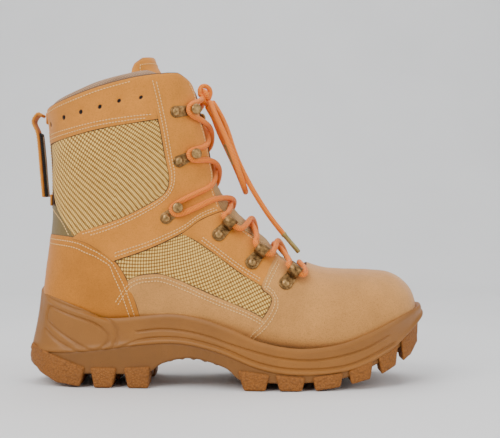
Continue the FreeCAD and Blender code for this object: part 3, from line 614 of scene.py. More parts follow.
def shell(name, spots, tris, centre, lift, thick, materials, swell, creases, ring):
    """The solid sheet over triangulated spots: outer face, rounded rim and inner face."""
    count = {}
    for a, b, c in tris:
        for e in ((a, b), (b, c), (c, a)):
            count[tuple(sorted(e))] = count.get(tuple(sorted(e)), 0) + 1
    u, v = unflat(spots, centre)
    base, out = surface(u, v, 0.0)
    depth = clear_of(spots, ring)
    rise = np.array([noise.noise(Vector(p) * 0.045) + 0.5 * noise.noise(Vector(p) * 0.13) for p in base])
    rim = np.zeros(len(spots), bool)
    rim[[i for e, n in count.items() if n == 1 for i in e]] = True
    height = lift + rise * creases * np.clip(depth / 6, 0, 1) + swell * np.clip(depth / 9, 0, 1) ** 0.6
    height = np.where(rim, height - 0.28, height)
    signed = 0.0
    for a, b, c in tris[:40]:
        signed += np.dot(np.cross(base[b] - base[a], base[c] - base[a]), out[a])
    if signed < 0:
        tris = [f[::-1] for f in tris]
    n = len(spots)
    verts = [base + out * height[:, None], base + out * (height - thick)[:, None]]
    faces = list(tris) + [(a + n, c + n, b + n) for a, b, c in tris]
    middle = {}
    offset = np.zeros((n, 3))
    for a, b, c in tris:
        for p, q in ((a, b), (b, c), (c, a)):
            if count[tuple(sorted((p, q)))] == 1:
                away = np.cross(base[q] - base[p], out[p])
                away /= np.linalg.norm(away) + 1e-9
                offset[p] += away
                offset[q] += away
    edge_ids = np.nonzero(rim)[0]
    offset /= np.linalg.norm(offset, axis=1, keepdims=True) + 1e-9
    for k, index in enumerate(edge_ids):
        middle[index] = 2 * n + k
    verts.append((base + out * (height - 0.62)[:, None] + offset * 0.62)[edge_ids])
    verts.append((base + out * (height - thick * 0.8)[:, None] + offset * 0.75)[edge_ids])
    m = len(edge_ids)
    for a, b, c in tris:
        for p, q in ((a, b), (b, c), (c, a)):
            if count[tuple(sorted((p, q)))] == 1:
                faces.append((p, middle[p], middle[q], q))
                faces.append((middle[p], middle[p] + m, middle[q] + m, middle[q]))
                faces.append((middle[p] + m, p + n, q + n, middle[q] + m))
    uvs = np.concatenate([spots, spots, spots[edge_ids], spots[edge_ids]])
    piece = mesh_piece(name, np.concatenate(verts), faces, materials, uvs)
    if len(piece.data.materials) > 1:
        index = [0] * len(faces)
        index[2 * len(tris):] = [1] * (len(faces) - 2 * len(tris))
        piece.data.polygons.foreach_set("material_index", index)
    return piece


def stitch_shape(sides=6):
    """One stitch lying along X: a short rounded bar about its middle, as unit vertices and faces."""
    rows = [(-1.0, 0.0), (-0.86, 0.6), (-0.4, 1.0), (0.4, 1.0), (0.86, 0.6), (1.0, 0.0)]
    verts = [(rows[0][0], 0, 0)]
    for along, radius in rows[1:-1]:
        for k in range(sides):
            a = 2 * math.pi * k / sides
            verts.append((along, radius * math.cos(a), radius * math.sin(a)))
    verts.append((rows[-1][0], 0, 0))
    faces = [(0, 1 + (k + 1) % sides, 1 + k) for k in range(sides)]
    faces += ring_faces(len(rows) - 2, sides, 1, True)
    end = len(verts) - 1
    faces += [(end, end - sides + k, end - sides + (k + 1) % sides) for k in range(sides)]
    return np.array(verts), faces


STITCH_VERTS, STITCH_FACES = stitch_shape()


def stitches(name, runs, material, pitch=2.35, length=1.85, thick=0.42):
    """Rows of stitches along runs, each a list of places and of directions that face out."""
    verts, faces = [], []
    for places, outs in runs:
        travel = np.concatenate([[0], np.cumsum(np.linalg.norm(np.diff(places, axis=0), axis=1))])
        for at in np.arange(pitch / 2, travel[-1] - pitch / 2, pitch):
            ends = [np.array([np.interp(at + d, travel, places[:, k]) for k in range(3)]) for d in (-0.5, 0.5)]
            out = np.array([np.interp(at, travel, outs[:, k]) for k in range(3)])
            along = (ends[1] - ends[0]) / (np.linalg.norm(ends[1] - ends[0]) + 1e-9)
            across = np.cross(out, along)
            across /= np.linalg.norm(across) + 1e-9
            up = np.cross(along, across)
            shape = STITCH_VERTS * (length / 2, thick, thick)
            start = len(verts) * len(STITCH_VERTS)
            verts.append((ends[0] + ends[1]) / 2 + shape @ np.array([along, across, up]))
            faces += [tuple(i + start for i in f) for f in STITCH_FACES]
    piece = mesh_piece(name, np.concatenate(verts), faces, material)
    return piece


def seam(line, centre, lift, shift=0.0):
    """A stitch row over a line of the flat pattern, moved sideways by shift, as places and directions."""
    ahead = np.gradient(line, axis=0)
    side = np.stack([-ahead[:, 1], ahead[:, 0]], axis=1)
    side /= np.linalg.norm(side, axis=1, keepdims=True) + 1e-9
    u, v = unflat(line + side * shift, centre)
    return surface(u, v, np.full(len(line), lift + 0.05))


def leather_finish(name, colour, nap):
    """Nubuck or suede: short nap, soft clouds of tone, rubbed lighter patches and small scuffs."""
    made = Finish(name, 0.9, Specular_IOR_Level=0.18, Sheen_Weight=0.14 + 0.1 * nap, Sheen_Roughness=0.5)
    cloud = made.grain(26, 5, 0.62)
    tone = made.ramp(cloud, [(0.28, shade(colour, 0.80)), (0.5, colour), (0.72, shade(colour, 1.16))])
    fine = made.grain(520, 4, 0.7)
    tone = made.mix(made.maths("MULTIPLY", fine, 0.55), tone, shade(colour, 0.58))
    pores = made.ramp(made.grain(1300, 3, 0.7), [(0.36, (1, 1, 1)), (0.50, (0, 0, 0))])
    tone = made.mix(made.maths("MULTIPLY", pores, 0.30 + 0.2 * nap), tone, shade(colour, 0.45))
    scuff = made.ramp(made.grain(70, 6, 0.75, (1, 1, 0.5)), [(0.60, (0, 0, 0)), (0.78, (1, 1, 1))])
    tone = made.mix(made.maths("MULTIPLY", scuff, 0.25), tone, shade(colour, 1.35))
    made.colour(tone)
    made.rough(fine, 0.80, 0.96)
    made.bump(fine, 0.10 + 0.06 * nap, 0.8)
    made.bump(made.grain(2600, 2), 0.05, 0.8)
    made.bump(made.grain(150, 5, 0.6), 0.35, 0.35)
    return made.material


def plain_finish(name, colour, roughness=0.75, scale=900, relief=0.06, **sockets):
    made = Finish(name, roughness, **sockets)
    tone = made.grain(scale, 3)
    made.colour(made.ramp(tone, [(0.25, shade(colour, 0.78)), (0.75, shade(colour, 1.18))]))
    made.bump(tone, relief, 0.8)
    return made.material


def woven_finish(name, light, dark, pitch, relief=0.22):
    """Coarse diagonal weave: light yarns over a dark ground, from sine bands on the cloth coordinates."""
    made = Finish(name, 0.86, Specular_IOR_Level=0.2, Sheen_Weight=0.1)
    cloth = made.node("UVMap", uv_map="Cloth").outputs[0]
    bands = []
    for angle in (45, -45):
        turned = made.node("Mapping", ("Vector", cloth), ("Rotation", (0, 0, math.radians(angle)))).outputs[0]
        along = made.node("SeparateXYZ", ("Vector", turned)).outputs[0]
        wave = made.maths("SINE", made.maths("MULTIPLY", along, 2 * math.pi * 10 / pitch))
        bands.append(made.maths("MULTIPLY_ADD", wave, 0.5, 0.5))
    weave = made.maths("MULTIPLY", made.maths("POWER", bands[0], 0.6), made.maths("POWER", bands[1], 0.6))
    uneven = made.grain(300, 3)
    yarn = made.maths("ADD", weave, made.maths("MULTIPLY", made.maths("SUBTRACT", uneven, 0.5), 0.35))
    tone = made.ramp(yarn, [(0.10, dark), (0.42, shade(light, 0.72)), (0.75, light)])
    cloud = made.grain(30, 4)
    tone = made.mix(made.maths("MULTIPLY", cloud, 0.3), tone, shade(light, 0.62), "MULTIPLY")
    made.colour(tone)
    made.bump(weave, relief, 0.9)
    made.bump(made.grain(1800, 2), 0.05, 0.8)
    return made.material


nubuck = leather_finish("nubuck", NUBUCK, 0.4)
counter_leather = leather_finish("counter_nubuck", COUNTER, 0.4)
suede = leather_finish("suede", SUEDE, 1.0)
raw_edge = plain_finish("raw_edge", RAW_EDGE)
thread = plain_finish("thread", THREAD, 0.6, 2600, 0.05)
side_cloth = woven_finish("side_cloth", (0.95, 0.61, 0.16), (0.24, 0.10, 0.02), 2.4)
lining_cloth = woven_finish("lining_cloth", (0.56, 0.36, 0.22), (0.33, 0.19, 0.11), 1.5, 0.15)
# Near-black finish for the sheet under the vents: painted shade inside the punched holes.
hole_shade = plain_finish("painted_hole_shade", (0.012, 0.010, 0.009), 0.95)

# Outlines in the side view, x and z in millimetres, shared with the patterns of the upper.
COLLAR_TOP = [(-152, 206.5), (-138.8, 211), (-118, 217.5), (-93, 225.8), (-70, 232), (-46, 236.5)]
MOUTH_FRONT = [
    (-34, 236), (-27.5, 231), (-24, 222), (-21, 207), (-16.5, 190), (-13, 172), (-10.5, 160), (-10, 150),
    (-4, 134), (11, 120.5), (27, 108.5), (45, 94.5), (58, 86),
]
COUNTER_EDGE = [
    (-160, 115), (-135.5, 114.8), (-114, 112.6), (-102.4, 109), (-90, 101.5), (-80, 92), (-73, 80),
    (-67.5, 66), (-63.5, 52), (-60, 40),
]
FACING_EDGE = [
    (-57, 232), (-53, 215), (-48.5, 194), (-45, 174), (-42, 156), (-46, 145), (-63, 134.2), (-85, 124.3),
    (-108, 117.3), (-116, 111),
]
BAND_EDGE = [(-95, 89), (-82, 95.6), (-56.4, 104.5), (-32, 116), (-18, 126), (-2, 132.5)]
VAMP_EDGE = [(14, 25), (17, 40), (25, 48.5), (32, 57.5), (35.5, 68), (28, 77), (38, 98)]
GAP_EDGE = [(-40, 121), (-18.6, 108.5), (11.6, 86.6), (28, 76.5)]
QUARTER_EDGE = [(-84, 66), (-72, 80.5), (-56, 85), (-40.7, 83.2), (-9.2, 69.8), (19.2, 58), (33, 50)]
ACHILLES_EDGE = [(-150, 141), (-132.5, 137.4), (-122, 127), (-112, 110)]
BAND_BOTTOM = [(-160, 181), (-136, 184.5), (-118, 188.5), (-93, 194.5), (-70, 198.5), (-52, 200.7)]
VENTS = [(-133.3, 199.5), (-120.8, 203.5), (-107.3, 207), (-93, 210.6), (-78.7, 215), (-62.6, 217.7)]
SIDES = ((-1, "outer"), (1, "inner"))


def under_rim(x0, x1, drop=7.0):
    """The hidden lower edge of the upper, drop below the rim of the midsole, from x0 to x1."""
    xs = np.linspace(x0, x1, max(int(abs(x1 - x0) / 12), 3))
    return [(x, float(height_at(RIM, x)) - drop) for x in xs]


def one_side(lines, side, centre):
    """A ring on the flat pattern from side-view lines joined end to end."""
    return np.concatenate([pattern(line, side, centre) for line in lines])


def both_sides(lines, centre):
    """A ring that crosses the middle: the lines on the inner side, then the same back on the outer side."""
    return np.concatenate([one_side(lines, 1, centre), one_side(lines, -1, centre)[::-1]])


def rows_inside(ring, line, centre, lift, distances):
    """Stitch rows along line at distances inside the ring."""
    found = []
    for distance in distances:
        for sign in (1, -1):
            ahead = np.gradient(line, axis=0)
            side = np.stack([-ahead[:, 1], ahead[:, 0]], axis=1)
            side /= np.linalg.norm(side, axis=1, keepdims=True) + 1e-9
            row = line + side * distance * sign
            if inside(row[len(row) // 2:len(row) // 2 + 1], ring)[0]:
                row = row[inside(row, ring) & (clear_of(row, ring) > distance * 0.8)]
                if len(row) > 4:
                    found.append(seam(row, centre, lift))
                break
    return found


def mounted(piece, slot, *nodes, body="root"):
    """Hides the parts a piece stands for and hangs it on the body it rides on; the slot argument is not used."""
    if nodes:
        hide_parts(*nodes)
    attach(piece, body)
    return piece


# ---- toe and vamp ----
# The vamp is one piece of suede pulled over the steel toe cap and cut round the bottom of the throat. It
# overlaps the quarters and the lower facings, and two rows of thread hold its back edge on each side.
VAMP_LIFT = 1.2
throat_end = [(38, 99), (45, 94.3), (54, 89.2), (59, 88.4), (62.5, 90.2), (63.5, 92.4)]
vamp_ring = both_sides([under_rim(152, 14, 4.0), VAMP_EDGE, throat_end], 0.0)
vamp = panel("vamp", vamp_ring, 0.0, VAMP_LIFT, 2.2, [suede, raw_edge], creases=0.5)
mounted(vamp, "suede", "vamp")
runs = []
for side, label in SIDES:
    edge = pattern(VAMP_EDGE, side, 0.0)
    runs += rows_inside(vamp_ring, edge, 0.0, VAMP_LIFT, (2.4, 4.8))
mounted(stitches("vamp_stitching", runs, thread), "suede")

# ---- quarters ----
# Each quarter is a low piece of suede along the side, under the vamp in front and the heel counter behind.
# Its top edge is turned and sewn with two rows through the cloth of the side.
QUARTER_LIFT = 0.95
for side, label in SIDES:
    ring = one_side([QUARTER_EDGE, [(33, 50), (33, 30)], under_rim(33, -84), [(-84, 48), (-84, 66)]], side, 0.0)
    piece = panel("quarter_" + label, ring, 0.0, QUARTER_LIFT, 2.0, [suede, raw_edge], creases=0.45)
    mounted(piece, "suede", "quarter_" + label)
    runs = rows_inside(ring, pattern(QUARTER_EDGE, side, 0.0), 0.0, QUARTER_LIFT, (2.4, 4.8))
    mounted(stitches("quarter_stitching_" + label, runs, thread), "suede")

# ---- cloth of the side and the shaft ----
# Coarse woven nylon fills the side below the band and the shaft above it. Both panels run a few
# millimetres under the leather round them, where they are sewn in.
CLOTH_LIFT = 0.25


def up_back(z0, z1, share, side, centre):
    """A line up the back of the shaft at a share of the way round, laid on the flat pattern."""
    u, v = locate([(-170, z) for z in np.linspace(z0, z1, 24)], side)
    v = np.full(u.shape, side * share)
    return flat(u, v + 2.0 if centre == 1.0 and side < 0 else v, centre)


for side, label in SIDES:
    lower = [
        [(-100, 60), (-100, 92)], [(-95, 92), (-56, 108), (-32, 119), (-20, 122)],
        [(-16, 112), (14, 90), (33, 80)], [(40, 74), (38, 58), (27, 45)], [(24, 50), (-9, 62), (-56, 78), (-86, 60)],
    ]
    ring = one_side(lower, side, 0.0)
    piece = panel("lower_panel_" + label, ring, 0.0, CLOTH_LIFT, 1.8, [side_cloth, side_cloth], creases=0.7)
    mounted(piece, "textile", "lower_panel_" + label)
    top = one_side([[(-134, 187), (-118, 191.5), (-93, 197.5), (-52, 203.5)]], side, 1.0)
    front = one_side([[(-46, 200), (-42, 174), (-39, 156), (-44, 142), (-63, 131), (-85, 121), (-112, 108)]], side, 1.0)
    low = one_side([[(-112, 108), (-124, 122)]], side, 1.0)
    ring = np.concatenate([top, front, low, up_back(134, 186, 0.965, side, 1.0)])
    piece = panel("shaft_panel_" + label, ring, 1.0, CLOTH_LIFT, 1.8, [side_cloth, side_cloth], swell=0.9, creases=0.9)
    mounted(piece, "textile", "shaft_panel_" + label)

# ---- achilles insert, heel counter and back stay ----
# Behind the heel a nubuck counter is moulded over a stiffener and wraps to both sides. A small insert sits
# above it, and a narrow stay covers the back seam up to the collar. All are sewn along their edges.
COUNTER_LIFT = 1.25
INSERT_LIFT = 0.7
# Dark olive for the insert: partly the leather's own darker colour, partly painted shade of the hollow above the heel
# counter.
insert_leather_and_shade = leather_finish("insert_nubuck_and_shade", (0.20, 0.135, 0.050), 0.5)
insert_ring = both_sides([ACHILLES_EDGE, [(-112, 109), (-136, 111), (-160, 110)]], 1.0)
achilles = panel("achilles_panel", insert_ring, 1.0, INSERT_LIFT, 1.9, [insert_leather_and_shade, raw_edge], creases=0.4)
mounted(achilles, "nubuck", "achilles_panel")
runs = []
for side, label in SIDES:
    runs += rows_inside(insert_ring, pattern(ACHILLES_EDGE[1:], side, 1.0), 1.0, INSERT_LIFT, (2.6,))
mounted(stitches("achilles_stitching", runs, thread), "nubuck")

counter_ring = both_sides([COUNTER_EDGE, under_rim(-60, -158)], 1.0)
counter = panel("heel_counter", counter_ring, 1.0, COUNTER_LIFT, 2.2, [counter_leather, raw_edge], creases=0.4)
mounted(counter, "nubuck", "heel_counter")
runs = []
for side, label in SIDES:
    runs += rows_inside(counter_ring, pattern(COUNTER_EDGE[1:], side, 1.0), 1.0, COUNTER_LIFT, (2.4, 5.0))
mounted(stitches("counter_stitching", runs, thread), "nubuck")

STAY_LIFT = 1.5
stay_low, stay_high = flat(*locate([(-170, 113), (-170, 188)], 1), 1.0)[:, 0]
stay_ring = np.array([(stay_low, -6), (stay_high, -6), (stay_high, 6), (stay_low, 6)], float)
stay = panel("back_stay", stay_ring, 1.0, STAY_LIFT, 1.9, [nubuck, raw_edge])
mounted(stay, "nubuck", "back_stay")
runs = []
for offset in (-4.2, 4.2):
    row = np.stack([np.linspace(stay_low + 3, stay_high - 2, 30), np.full(30, offset)], axis=1)
    runs.append(seam(row, 1.0, STAY_LIFT))
mounted(stitches("back_stay_stitching", runs, thread), "nubuck")

# ---- collar band ----
# A band of nubuck runs round the top of the shaft behind the facings. Six vents are punched through it on
# each side, and two rows of thread hold its lower edge.
BAND_LIFT = 1.45
VENT_R = 1.6
band_front = [(-48, 236), (-50, 218), (-50, 202)]
band_ring = both_sides([COLLAR_TOP[:-1] + [(-48, 236)], band_front, [(-50, 202)] + BAND_BOTTOM[::-1][1:]], 1.0)
holes = []
for side, label in SIDES:
    spots = [pattern([a, a], side, 1.0)[0] for a in VENTS]
    holes += [[s + VENT_R * np.array([math.cos(t), math.sin(t)]) for t in np.linspace(0, 2 * math.pi, 15)[:-1]] for s in spots]
band = panel("collar_band", band_ring, 1.0, BAND_LIFT, 2.0, [nubuck, raw_edge], holes=holes, creases=0.5)
mounted(band, "nubuck", "collar_band")
# A near-black sheet under the band, painted shade: it makes the punched vents look dark inside.
vent_shade_ring = both_sides([[(-160, 190), (-118, 198), (-93, 204), (-54, 210)], [(-54, 210), (-54, 228)],
                           [(-54, 228), (-93, 219), (-118, 211), (-160, 202)]], 1.0)
vent_shade_piece = panel("vent_shade_sheet", vent_shade_ring, 1.0, BAND_LIFT - 1.3, 0.5, [hole_shade, hole_shade])
mounted(vent_shade_piece, "nubuck")
runs = []
for side, label in SIDES:
    runs += rows_inside(band_ring, pattern(BAND_BOTTOM[1:], side, 1.0), 1.0, BAND_LIFT, (2.4, 4.9))
    runs += rows_inside(band_ring, pattern(COLLAR_TOP[1:-1], side, 1.0), 1.0, BAND_LIFT, (2.6,))
mounted(stitches("collar_stitching", runs, thread), "nubuck")

# ---- facings ----
# The facings are nubuck straps down both sides of the throat that carry the hooks and the eyelets. The
# upper one runs back across the ankle to the heel counter, and two rows of thread follow each edge.
UPPER_LIFT = 1.6
LOWER_LIFT = 1.4
for side, label in SIDES:
    mouth_high = MOUTH_FRONT[:9]
    edge_low = BAND_EDGE[:0:-1]
    ring = one_side([mouth_high, edge_low, [(-83.3, 94.4), (-91, 100.8), (-103, 108.2), (-115, 111.8)], FACING_EDGE[:-1][::-1],
                     [(-57, 233), (-46, 236), (-36, 237)]], side, 0.0)
    piece = panel("upper_facing_" + label, ring, 0.0, UPPER_LIFT, 2.3, [nubuck, raw_edge], creases=0.55)
    mounted(piece, "nubuck", "upper_facing_" + label)
    runs = rows_inside(ring, pattern(FACING_EDGE[:-1], side, 0.0), 0.0, UPPER_LIFT, (2.4, 5.0))
    runs += rows_inside(ring, pattern(BAND_EDGE[1:], side, 0.0), 0.0, UPPER_LIFT, (2.4, 4.8))
    runs += rows_inside(ring, pattern(mouth_high[1:], side, 0.0), 0.0, UPPER_LIFT, (2.8,))
    mounted(stitches("upper_facing_stitching_" + label, runs, thread), "nubuck")

    lower = [[(-34, 116), (-18, 127), (-3, 134)], [(-3, 134), (11, 120.5), (27, 108.5), (42, 97)],
             [(42, 96), (32, 78), (34, 74)], GAP_EDGE[::-1][:-1] + [(-34, 116)]]
    ring = one_side(lower, side, 0.0)
    piece = panel("lower_facing_" + label, ring, 0.0, LOWER_LIFT - 0.5, 2.0, [nubuck, raw_edge], creases=0.5)
    mounted(piece, "nubuck", "lower_facing_" + label)
    runs = rows_inside(ring, pattern(GAP_EDGE[1:], side, 0.0), 0.0, LOWER_LIFT - 0.5, (2.4, 4.8))
    runs += rows_inside(ring, pattern(MOUTH_FRONT[8:12], side, 0.0), 0.0, LOWER_LIFT - 0.5, (2.6,))
    mounted(stitches("lower_facing_stitching_" + label, runs, thread), "nubuck")

# ---- midsole ----
# The midsole is poured polyurethane. Its wall is moulded with a rounded lip against the upper, a long
# groove down each side and a sunk drop shape round the heel, and it wraps up over the toe and the heel.
SIDE_GROOVE = [(-66, 42), (-44, 44), (-18, 40.5), (12, 31.2), (42, 24), (71, 22.5), (101, 28.5), (122, 39)]
LOW_GROOVE = [(-96, 23), (-84, 27), (-63, 36), (-33, 37.5), (-3, 31), (26, 20), (56, 15.5), (94, 18.5), (128, 33)]
HEEL_DROP = [
    (-139, 60.5), (-117, 54), (-98, 48), (-88, 40), (-88, 34), (-95, 28.5), (-101, 28), (-113, 33.5),
    (-133, 44.5), (-141, 50.5),
]
HEEL_RIM = [(-140, 66), (-115, 59), (-90, 52), (-82, 45), (-81, 37), (-87, 26), (-98, 22.5), (-124, 32), (-141, 42)]
LIP = 4.0


def gap_to(line, x, z):
    """Distance from points to a line in the side view."""
    best = np.full(np.shape(x), 1e9)
    dense = run_through(line, 1.0)
    for a, b in zip(dense, dense[1:]):
        along = b - a
        t = np.clip(((x - a[0]) * along[0] + (z - a[1]) * along[1]) / (along @ along), 0, 1)
        best = np.minimum(best, np.hypot(x - a[0] - along[0] * t, z - a[1] - along[1] * t))
    return best


def wall_swell(x, z, rim, ridge):
    """How far the wall of the midsole stands out at each place."""
    depth = rim - z
    swell = -0.4 - 1.1 * np.sin(np.clip(depth / np.maximum(rim - ridge, 1), 0, 1) * np.pi)
    swell = np.where(depth < LIP, swell - 2.0 * (1 - depth / LIP) ** 2, swell)
    swell -= 1.3 * np.exp(-(gap_to(SIDE_GROOVE, x, z) / 0.75) ** 2)
    swell -= 1.4 * np.exp(-(gap_to(LOW_GROOVE, x, z) / 0.8) ** 2)
    swell -= 1.5 * np.exp(-(gap_to(HEEL_DROP + HEEL_DROP[:1], x, z) / 0.8) ** 2)
    swell -= 1.6 * np.exp(-(gap_to(HEEL_RIM, x, z) / 1.1) ** 2)
    swell += 0.9 * np.exp(-((z - ridge - 1.2) / 1.6) ** 2)
    swell += lip_out * np.clip(1 - depth / 26, 0, 1)
    return swell


def clear_of_upper(z):
    """How far the lip has to move out from the outline of the sole to stand clear of the vamp."""
    u, v = np.meshgrid(np.linspace(0.03, 9, 240), np.linspace(-1, 1, 320), indexing="ij")
    skin = surface(u.ravel(), v.ravel(), np.full(u.size, VAMP_LIFT))[0]
    feet = sole_point(side_loop, side_out, z, 0.0)
    need = np.zeros(SIDE_COUNT)
    for i in np.nonzero(side_x > 40)[0]:
        gap = skin - feet[i]
        beside_it = np.abs(gap[:, 0] * side_out[i, 1] - gap[:, 1] * side_out[i, 0]) < 1.6
        near = beside_it & (np.abs(gap[:, 2]) < 2.2)
        if near.any():
            need[i] = (gap[near][:, :2] @ side_out[i]).max() + 2.8
    need = np.clip(need, 0, 8)
    window = np.hanning(25) / np.hanning(25).sum()
    wide = np.maximum.reduce([np.roll(need, k) for k in range(-8, 9)])
    return np.convolve(np.concatenate([wide[-40:], wide, wide[:40]]), window, "same")[40:-40]


rim_z = height_at(RIM, side_x)
lip_out = clear_of_upper(rim_z - 1.5)
rows = [sole_point(side_loop, side_out, rim_z - 5.5, lip_out - 11.0)]
rows.append(sole_point(side_loop, side_out, rim_z - 1.2, lip_out - 6.5))
rows.append(sole_point(side_loop, side_out, rim_z - 0.2, lip_out - 3.6))
WALL_ROWS = 46
for t in np.linspace(0, 1, WALL_ROWS):
    fall = t * t * 0.35 + t * 0.65
    z = rim_z + (ridge_z - rim_z) * fall
    rows.append(sole_point(side_loop, side_out, z, wall_swell(side_x, z, rim_z, ridge_z)))
rows.append(sole_point(side_loop, side_out, ridge_z - 0.8, np.full(SIDE_COUNT, -1.0)))
rows.append(sole_point(side_loop, side_out, ridge_z - 0.4, np.full(SIDE_COUNT, -9.0)))
midsole_wall = mesh_piece("midsole_wall", np.concatenate(rows + [rows[0]]), ring_faces(len(rows) + 1, SIDE_COUNT), tan_rubber)
close_ends(midsole_wall)
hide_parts("midsole")
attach(midsole_wall, "root")

# ---- linings ----
# Brushed mesh lines the shaft and the foot, stitched to the leather at the collar and under the tongue.
# It is soft sheet, a little uneven where the foam behind it gives.
LINING_INSET = 5.3


def inner_sleeve(name, u0, u1, low_v, high_v, rows, columns, slot, *nodes):
    """A sleeve of lining inside the last between two sections, from low_v to high_v of the way round."""
    us = np.linspace(u0, u1, rows)
    vs = np.linspace(low_v, high_v, columns)
    grid_u, grid_v = np.meshgrid(us, vs, indexing="ij")
    spots = flat(grid_u.ravel(), grid_v.ravel(), 1.0)
    base, out = surface(grid_u.ravel(), grid_v.ravel())
    wave = np.array([noise.noise(Vector(p) * 0.06) for p in base]) * 0.5
    inner = base - out * (LINING_INSET + 1.2 + wave)[:, None]
    outer = base - out * LINING_INSET
    n = rows * columns
    faces = []
    for r in range(rows - 1):
        for c in range(columns - 1):
            a = r * columns + c
            faces.append((a, a + 1, a + columns + 1, a + columns))
            faces.append((a + n, a + n + columns, a + n + columns + 1, a + n + 1))
    rim = list(range(columns)) + [r * columns + columns - 1 for r in range(1, rows)]
    rim += [n - 1 - c for c in range(1, columns)] + [(rows - 1 - r) * columns for r in range(1, rows - 1)]
    for a, b in zip(rim, rim[1:] + rim[:1]):
        faces.append((b, a, a + n, b + n))
    piece = mesh_piece(name, np.concatenate([inner, outer]), faces, lining_cloth, np.concatenate([spots, spots]))
    return mounted(piece, slot, *nodes)


inner_sleeve("shaft_lining", 12.5, 21.9, 0.22, 1.78, 60, 110, "lining", "shaft_lining")
inner_sleeve("foot_lining", 2.2, 12.4, 0.25, 1.75, 60, 90, "lining", "foot_lining")

# ---- padded collar ----
# The top of the shaft ends in a soft roll: foam inside brushed mesh, sewn under the band and turned over
# the edge. It swells a little and is slightly uneven, as cloth over foam.
ROLL_COLUMNS = 130
ROLL_SIDES = 26


def roll_line():
    """Places along the top of the collar, from the inner facing round the back to the outer one."""
    inner_run = pattern(COLLAR_TOP, 1, 1.0)[::-1]
    outer_run = pattern(COLLAR_TOP, -1, 1.0)
    line = np.concatenate([inner_run, outer_run])
    length = np.concatenate([[0], np.cumsum(np.linalg.norm(np.diff(line, axis=0), axis=1))])
    even = np.linspace(0, length[-1], ROLL_COLUMNS)
    keep = np.concatenate([[True], np.diff(length) > 1e-6])
    line = np.stack([np.interp(even, length[keep], line[keep, k]) for k in (0, 1)], axis=1)
    return unflat(line, 1.0)


def collar_roll():
    u, v = roll_line()
    top, out = surface(u, v)
    along = np.gradient(top, axis=0)
    along /= np.linalg.norm(along, axis=1, keepdims=True)
    up = np.cross(out, along)
    up *= np.where(up[:, 2:] < 0, -1, 1)
    verts, uvs = [], []
    travel = np.concatenate([[0], np.cumsum(np.linalg.norm(np.diff(top, axis=0), axis=1))])
    for i in range(ROLL_COLUMNS):
        end = min(i, ROLL_COLUMNS - 1 - i) / 6
        close = min(1.0, 0.25 + 0.75 * math.sqrt(min(end, 1.0)))
        for k in range(ROLL_SIDES):
            a = 2 * math.pi * k / ROLL_SIDES
            height = -5.2 + 9.6 * math.cos(a) * close
            depth = 5.0 + (2.7 + 0.7 * math.cos(a)) * math.sin(a) * close
            wave = noise.noise(Vector((travel[i] * 0.05, k * 0.4, 0))) * 0.5
            verts.append(top[i] + up[i] * (height + wave * 0.6) - out[i] * (depth + wave))
            uvs.append((travel[i], a * 5.5))
    faces = []
    for i in range(ROLL_COLUMNS - 1):
        for k in range(ROLL_SIDES):
            a, b = i * ROLL_SIDES + k, i * ROLL_SIDES + (k + 1) % ROLL_SIDES
            faces.append((a, b, b + ROLL_SIDES, a + ROLL_SIDES))
    faces.append(tuple(range(ROLL_SIDES))[::-1])
    faces.append(tuple(range((ROLL_COLUMNS - 1) * ROLL_SIDES, ROLL_COLUMNS * ROLL_SIDES)))
    return mesh_piece("collar_roll", verts, faces, lining_cloth, uvs)


def puff(piece, pressure, frames=20, hold=0.45):
    """Fills a closed cover with air for a few frames, so that it swells and wrinkles as cloth over foam."""
    scene = bpy.context.scene
    rest = np.array([v.co[:] for v in piece.data.vertices])
    sim = piece.modifiers.new("cover", "CLOTH")
    sim.settings.quality = 6
    sim.settings.mass = 0.25
    sim.settings.tension_stiffness = 12
    sim.settings.compression_stiffness = 12
    sim.settings.bending_stiffness = 0.4
    sim.settings.use_pressure = True
    sim.settings.uniform_pressure_force = pressure
    sim.settings.effector_weights.gravity = 0.0
    sim.point_cache.frame_start = 1
    sim.point_cache.frame_end = frames
    for frame_number in range(1, frames + 1):
        scene.frame_set(frame_number)
    shown = piece.evaluated_get(bpy.context.evaluated_depsgraph_get())
    blown = np.array([v.co[:] for v in shown.data.vertices])
    move = blown - rest
    size = np.linalg.norm(move, axis=1, keepdims=True)
    limit = 1.6 * MM
    move *= np.minimum(1.0, limit / np.maximum(size, 1e-9))
    piece.modifiers.remove(sim)
    piece.data.vertices.foreach_set("co", (rest + move * (1 - hold) + move * hold * 0.8).ravel())
    piece.data.update()
    scene.frame_set(1)


roll = collar_roll()
puff(roll, 4.0)
mounted(roll, "lining", "collar_roll")

# ---- tongue ----
# The tongue is sewn in at the bottom of the throat and runs up between the facings. It is foam in a woven
# cover, with a nubuck shield sewn over its top third.
TONGUE_INSET = 7.5
TONGUE_LEATHER = 1.2
TONGUE_PAD = 5.0
TONGUE_BASE = 7.75
TONGUE_END = 22.6


def tongue_place(u, share, front, depth):
    """Points across the tongue at section u; share runs from -1 at the outer edge to 1 at the inner one."""
    u = np.clip(u, 0, LAST_ENDS)
    bx, bz, tx, tz, half, widest, low, high, lean = np.moveaxis(spread(LAST, u), -1, 0)
    full = np.hypot(tx - bx, tz - bz)
    tx, tz = tx - front * (tx - bx) / full, tz - front * (tz - bz) / full
    span = np.hypot(tx - bx, tz - bz)
    width = 21 + 9 * np.clip((u - TONGUE_BASE) / 4, 0, 1)
    width -= 10 * (1 - np.sqrt(1 - np.clip((u - TONGUE_END + 1.5) / 1.5, 0, 1) ** 2))
    y = width * share * (1 - 0.012 * depth)
    t = np.clip((tz - 212) / 38, 0, 1)
    drop = 1 - (1 - np.minimum(np.abs(y) / (half - front - depth), 0.98) ** high) ** (1 / high)
    along = depth + drop * (1 - widest) * span * (1 + 0.8 * t)
    leaning = -20 * t * t * (3 - 2 * t)
    return np.stack([tx + (bx - tx) / span * along + leaning, y + lean, tz + (bz - tz) / span * along], axis=-1)


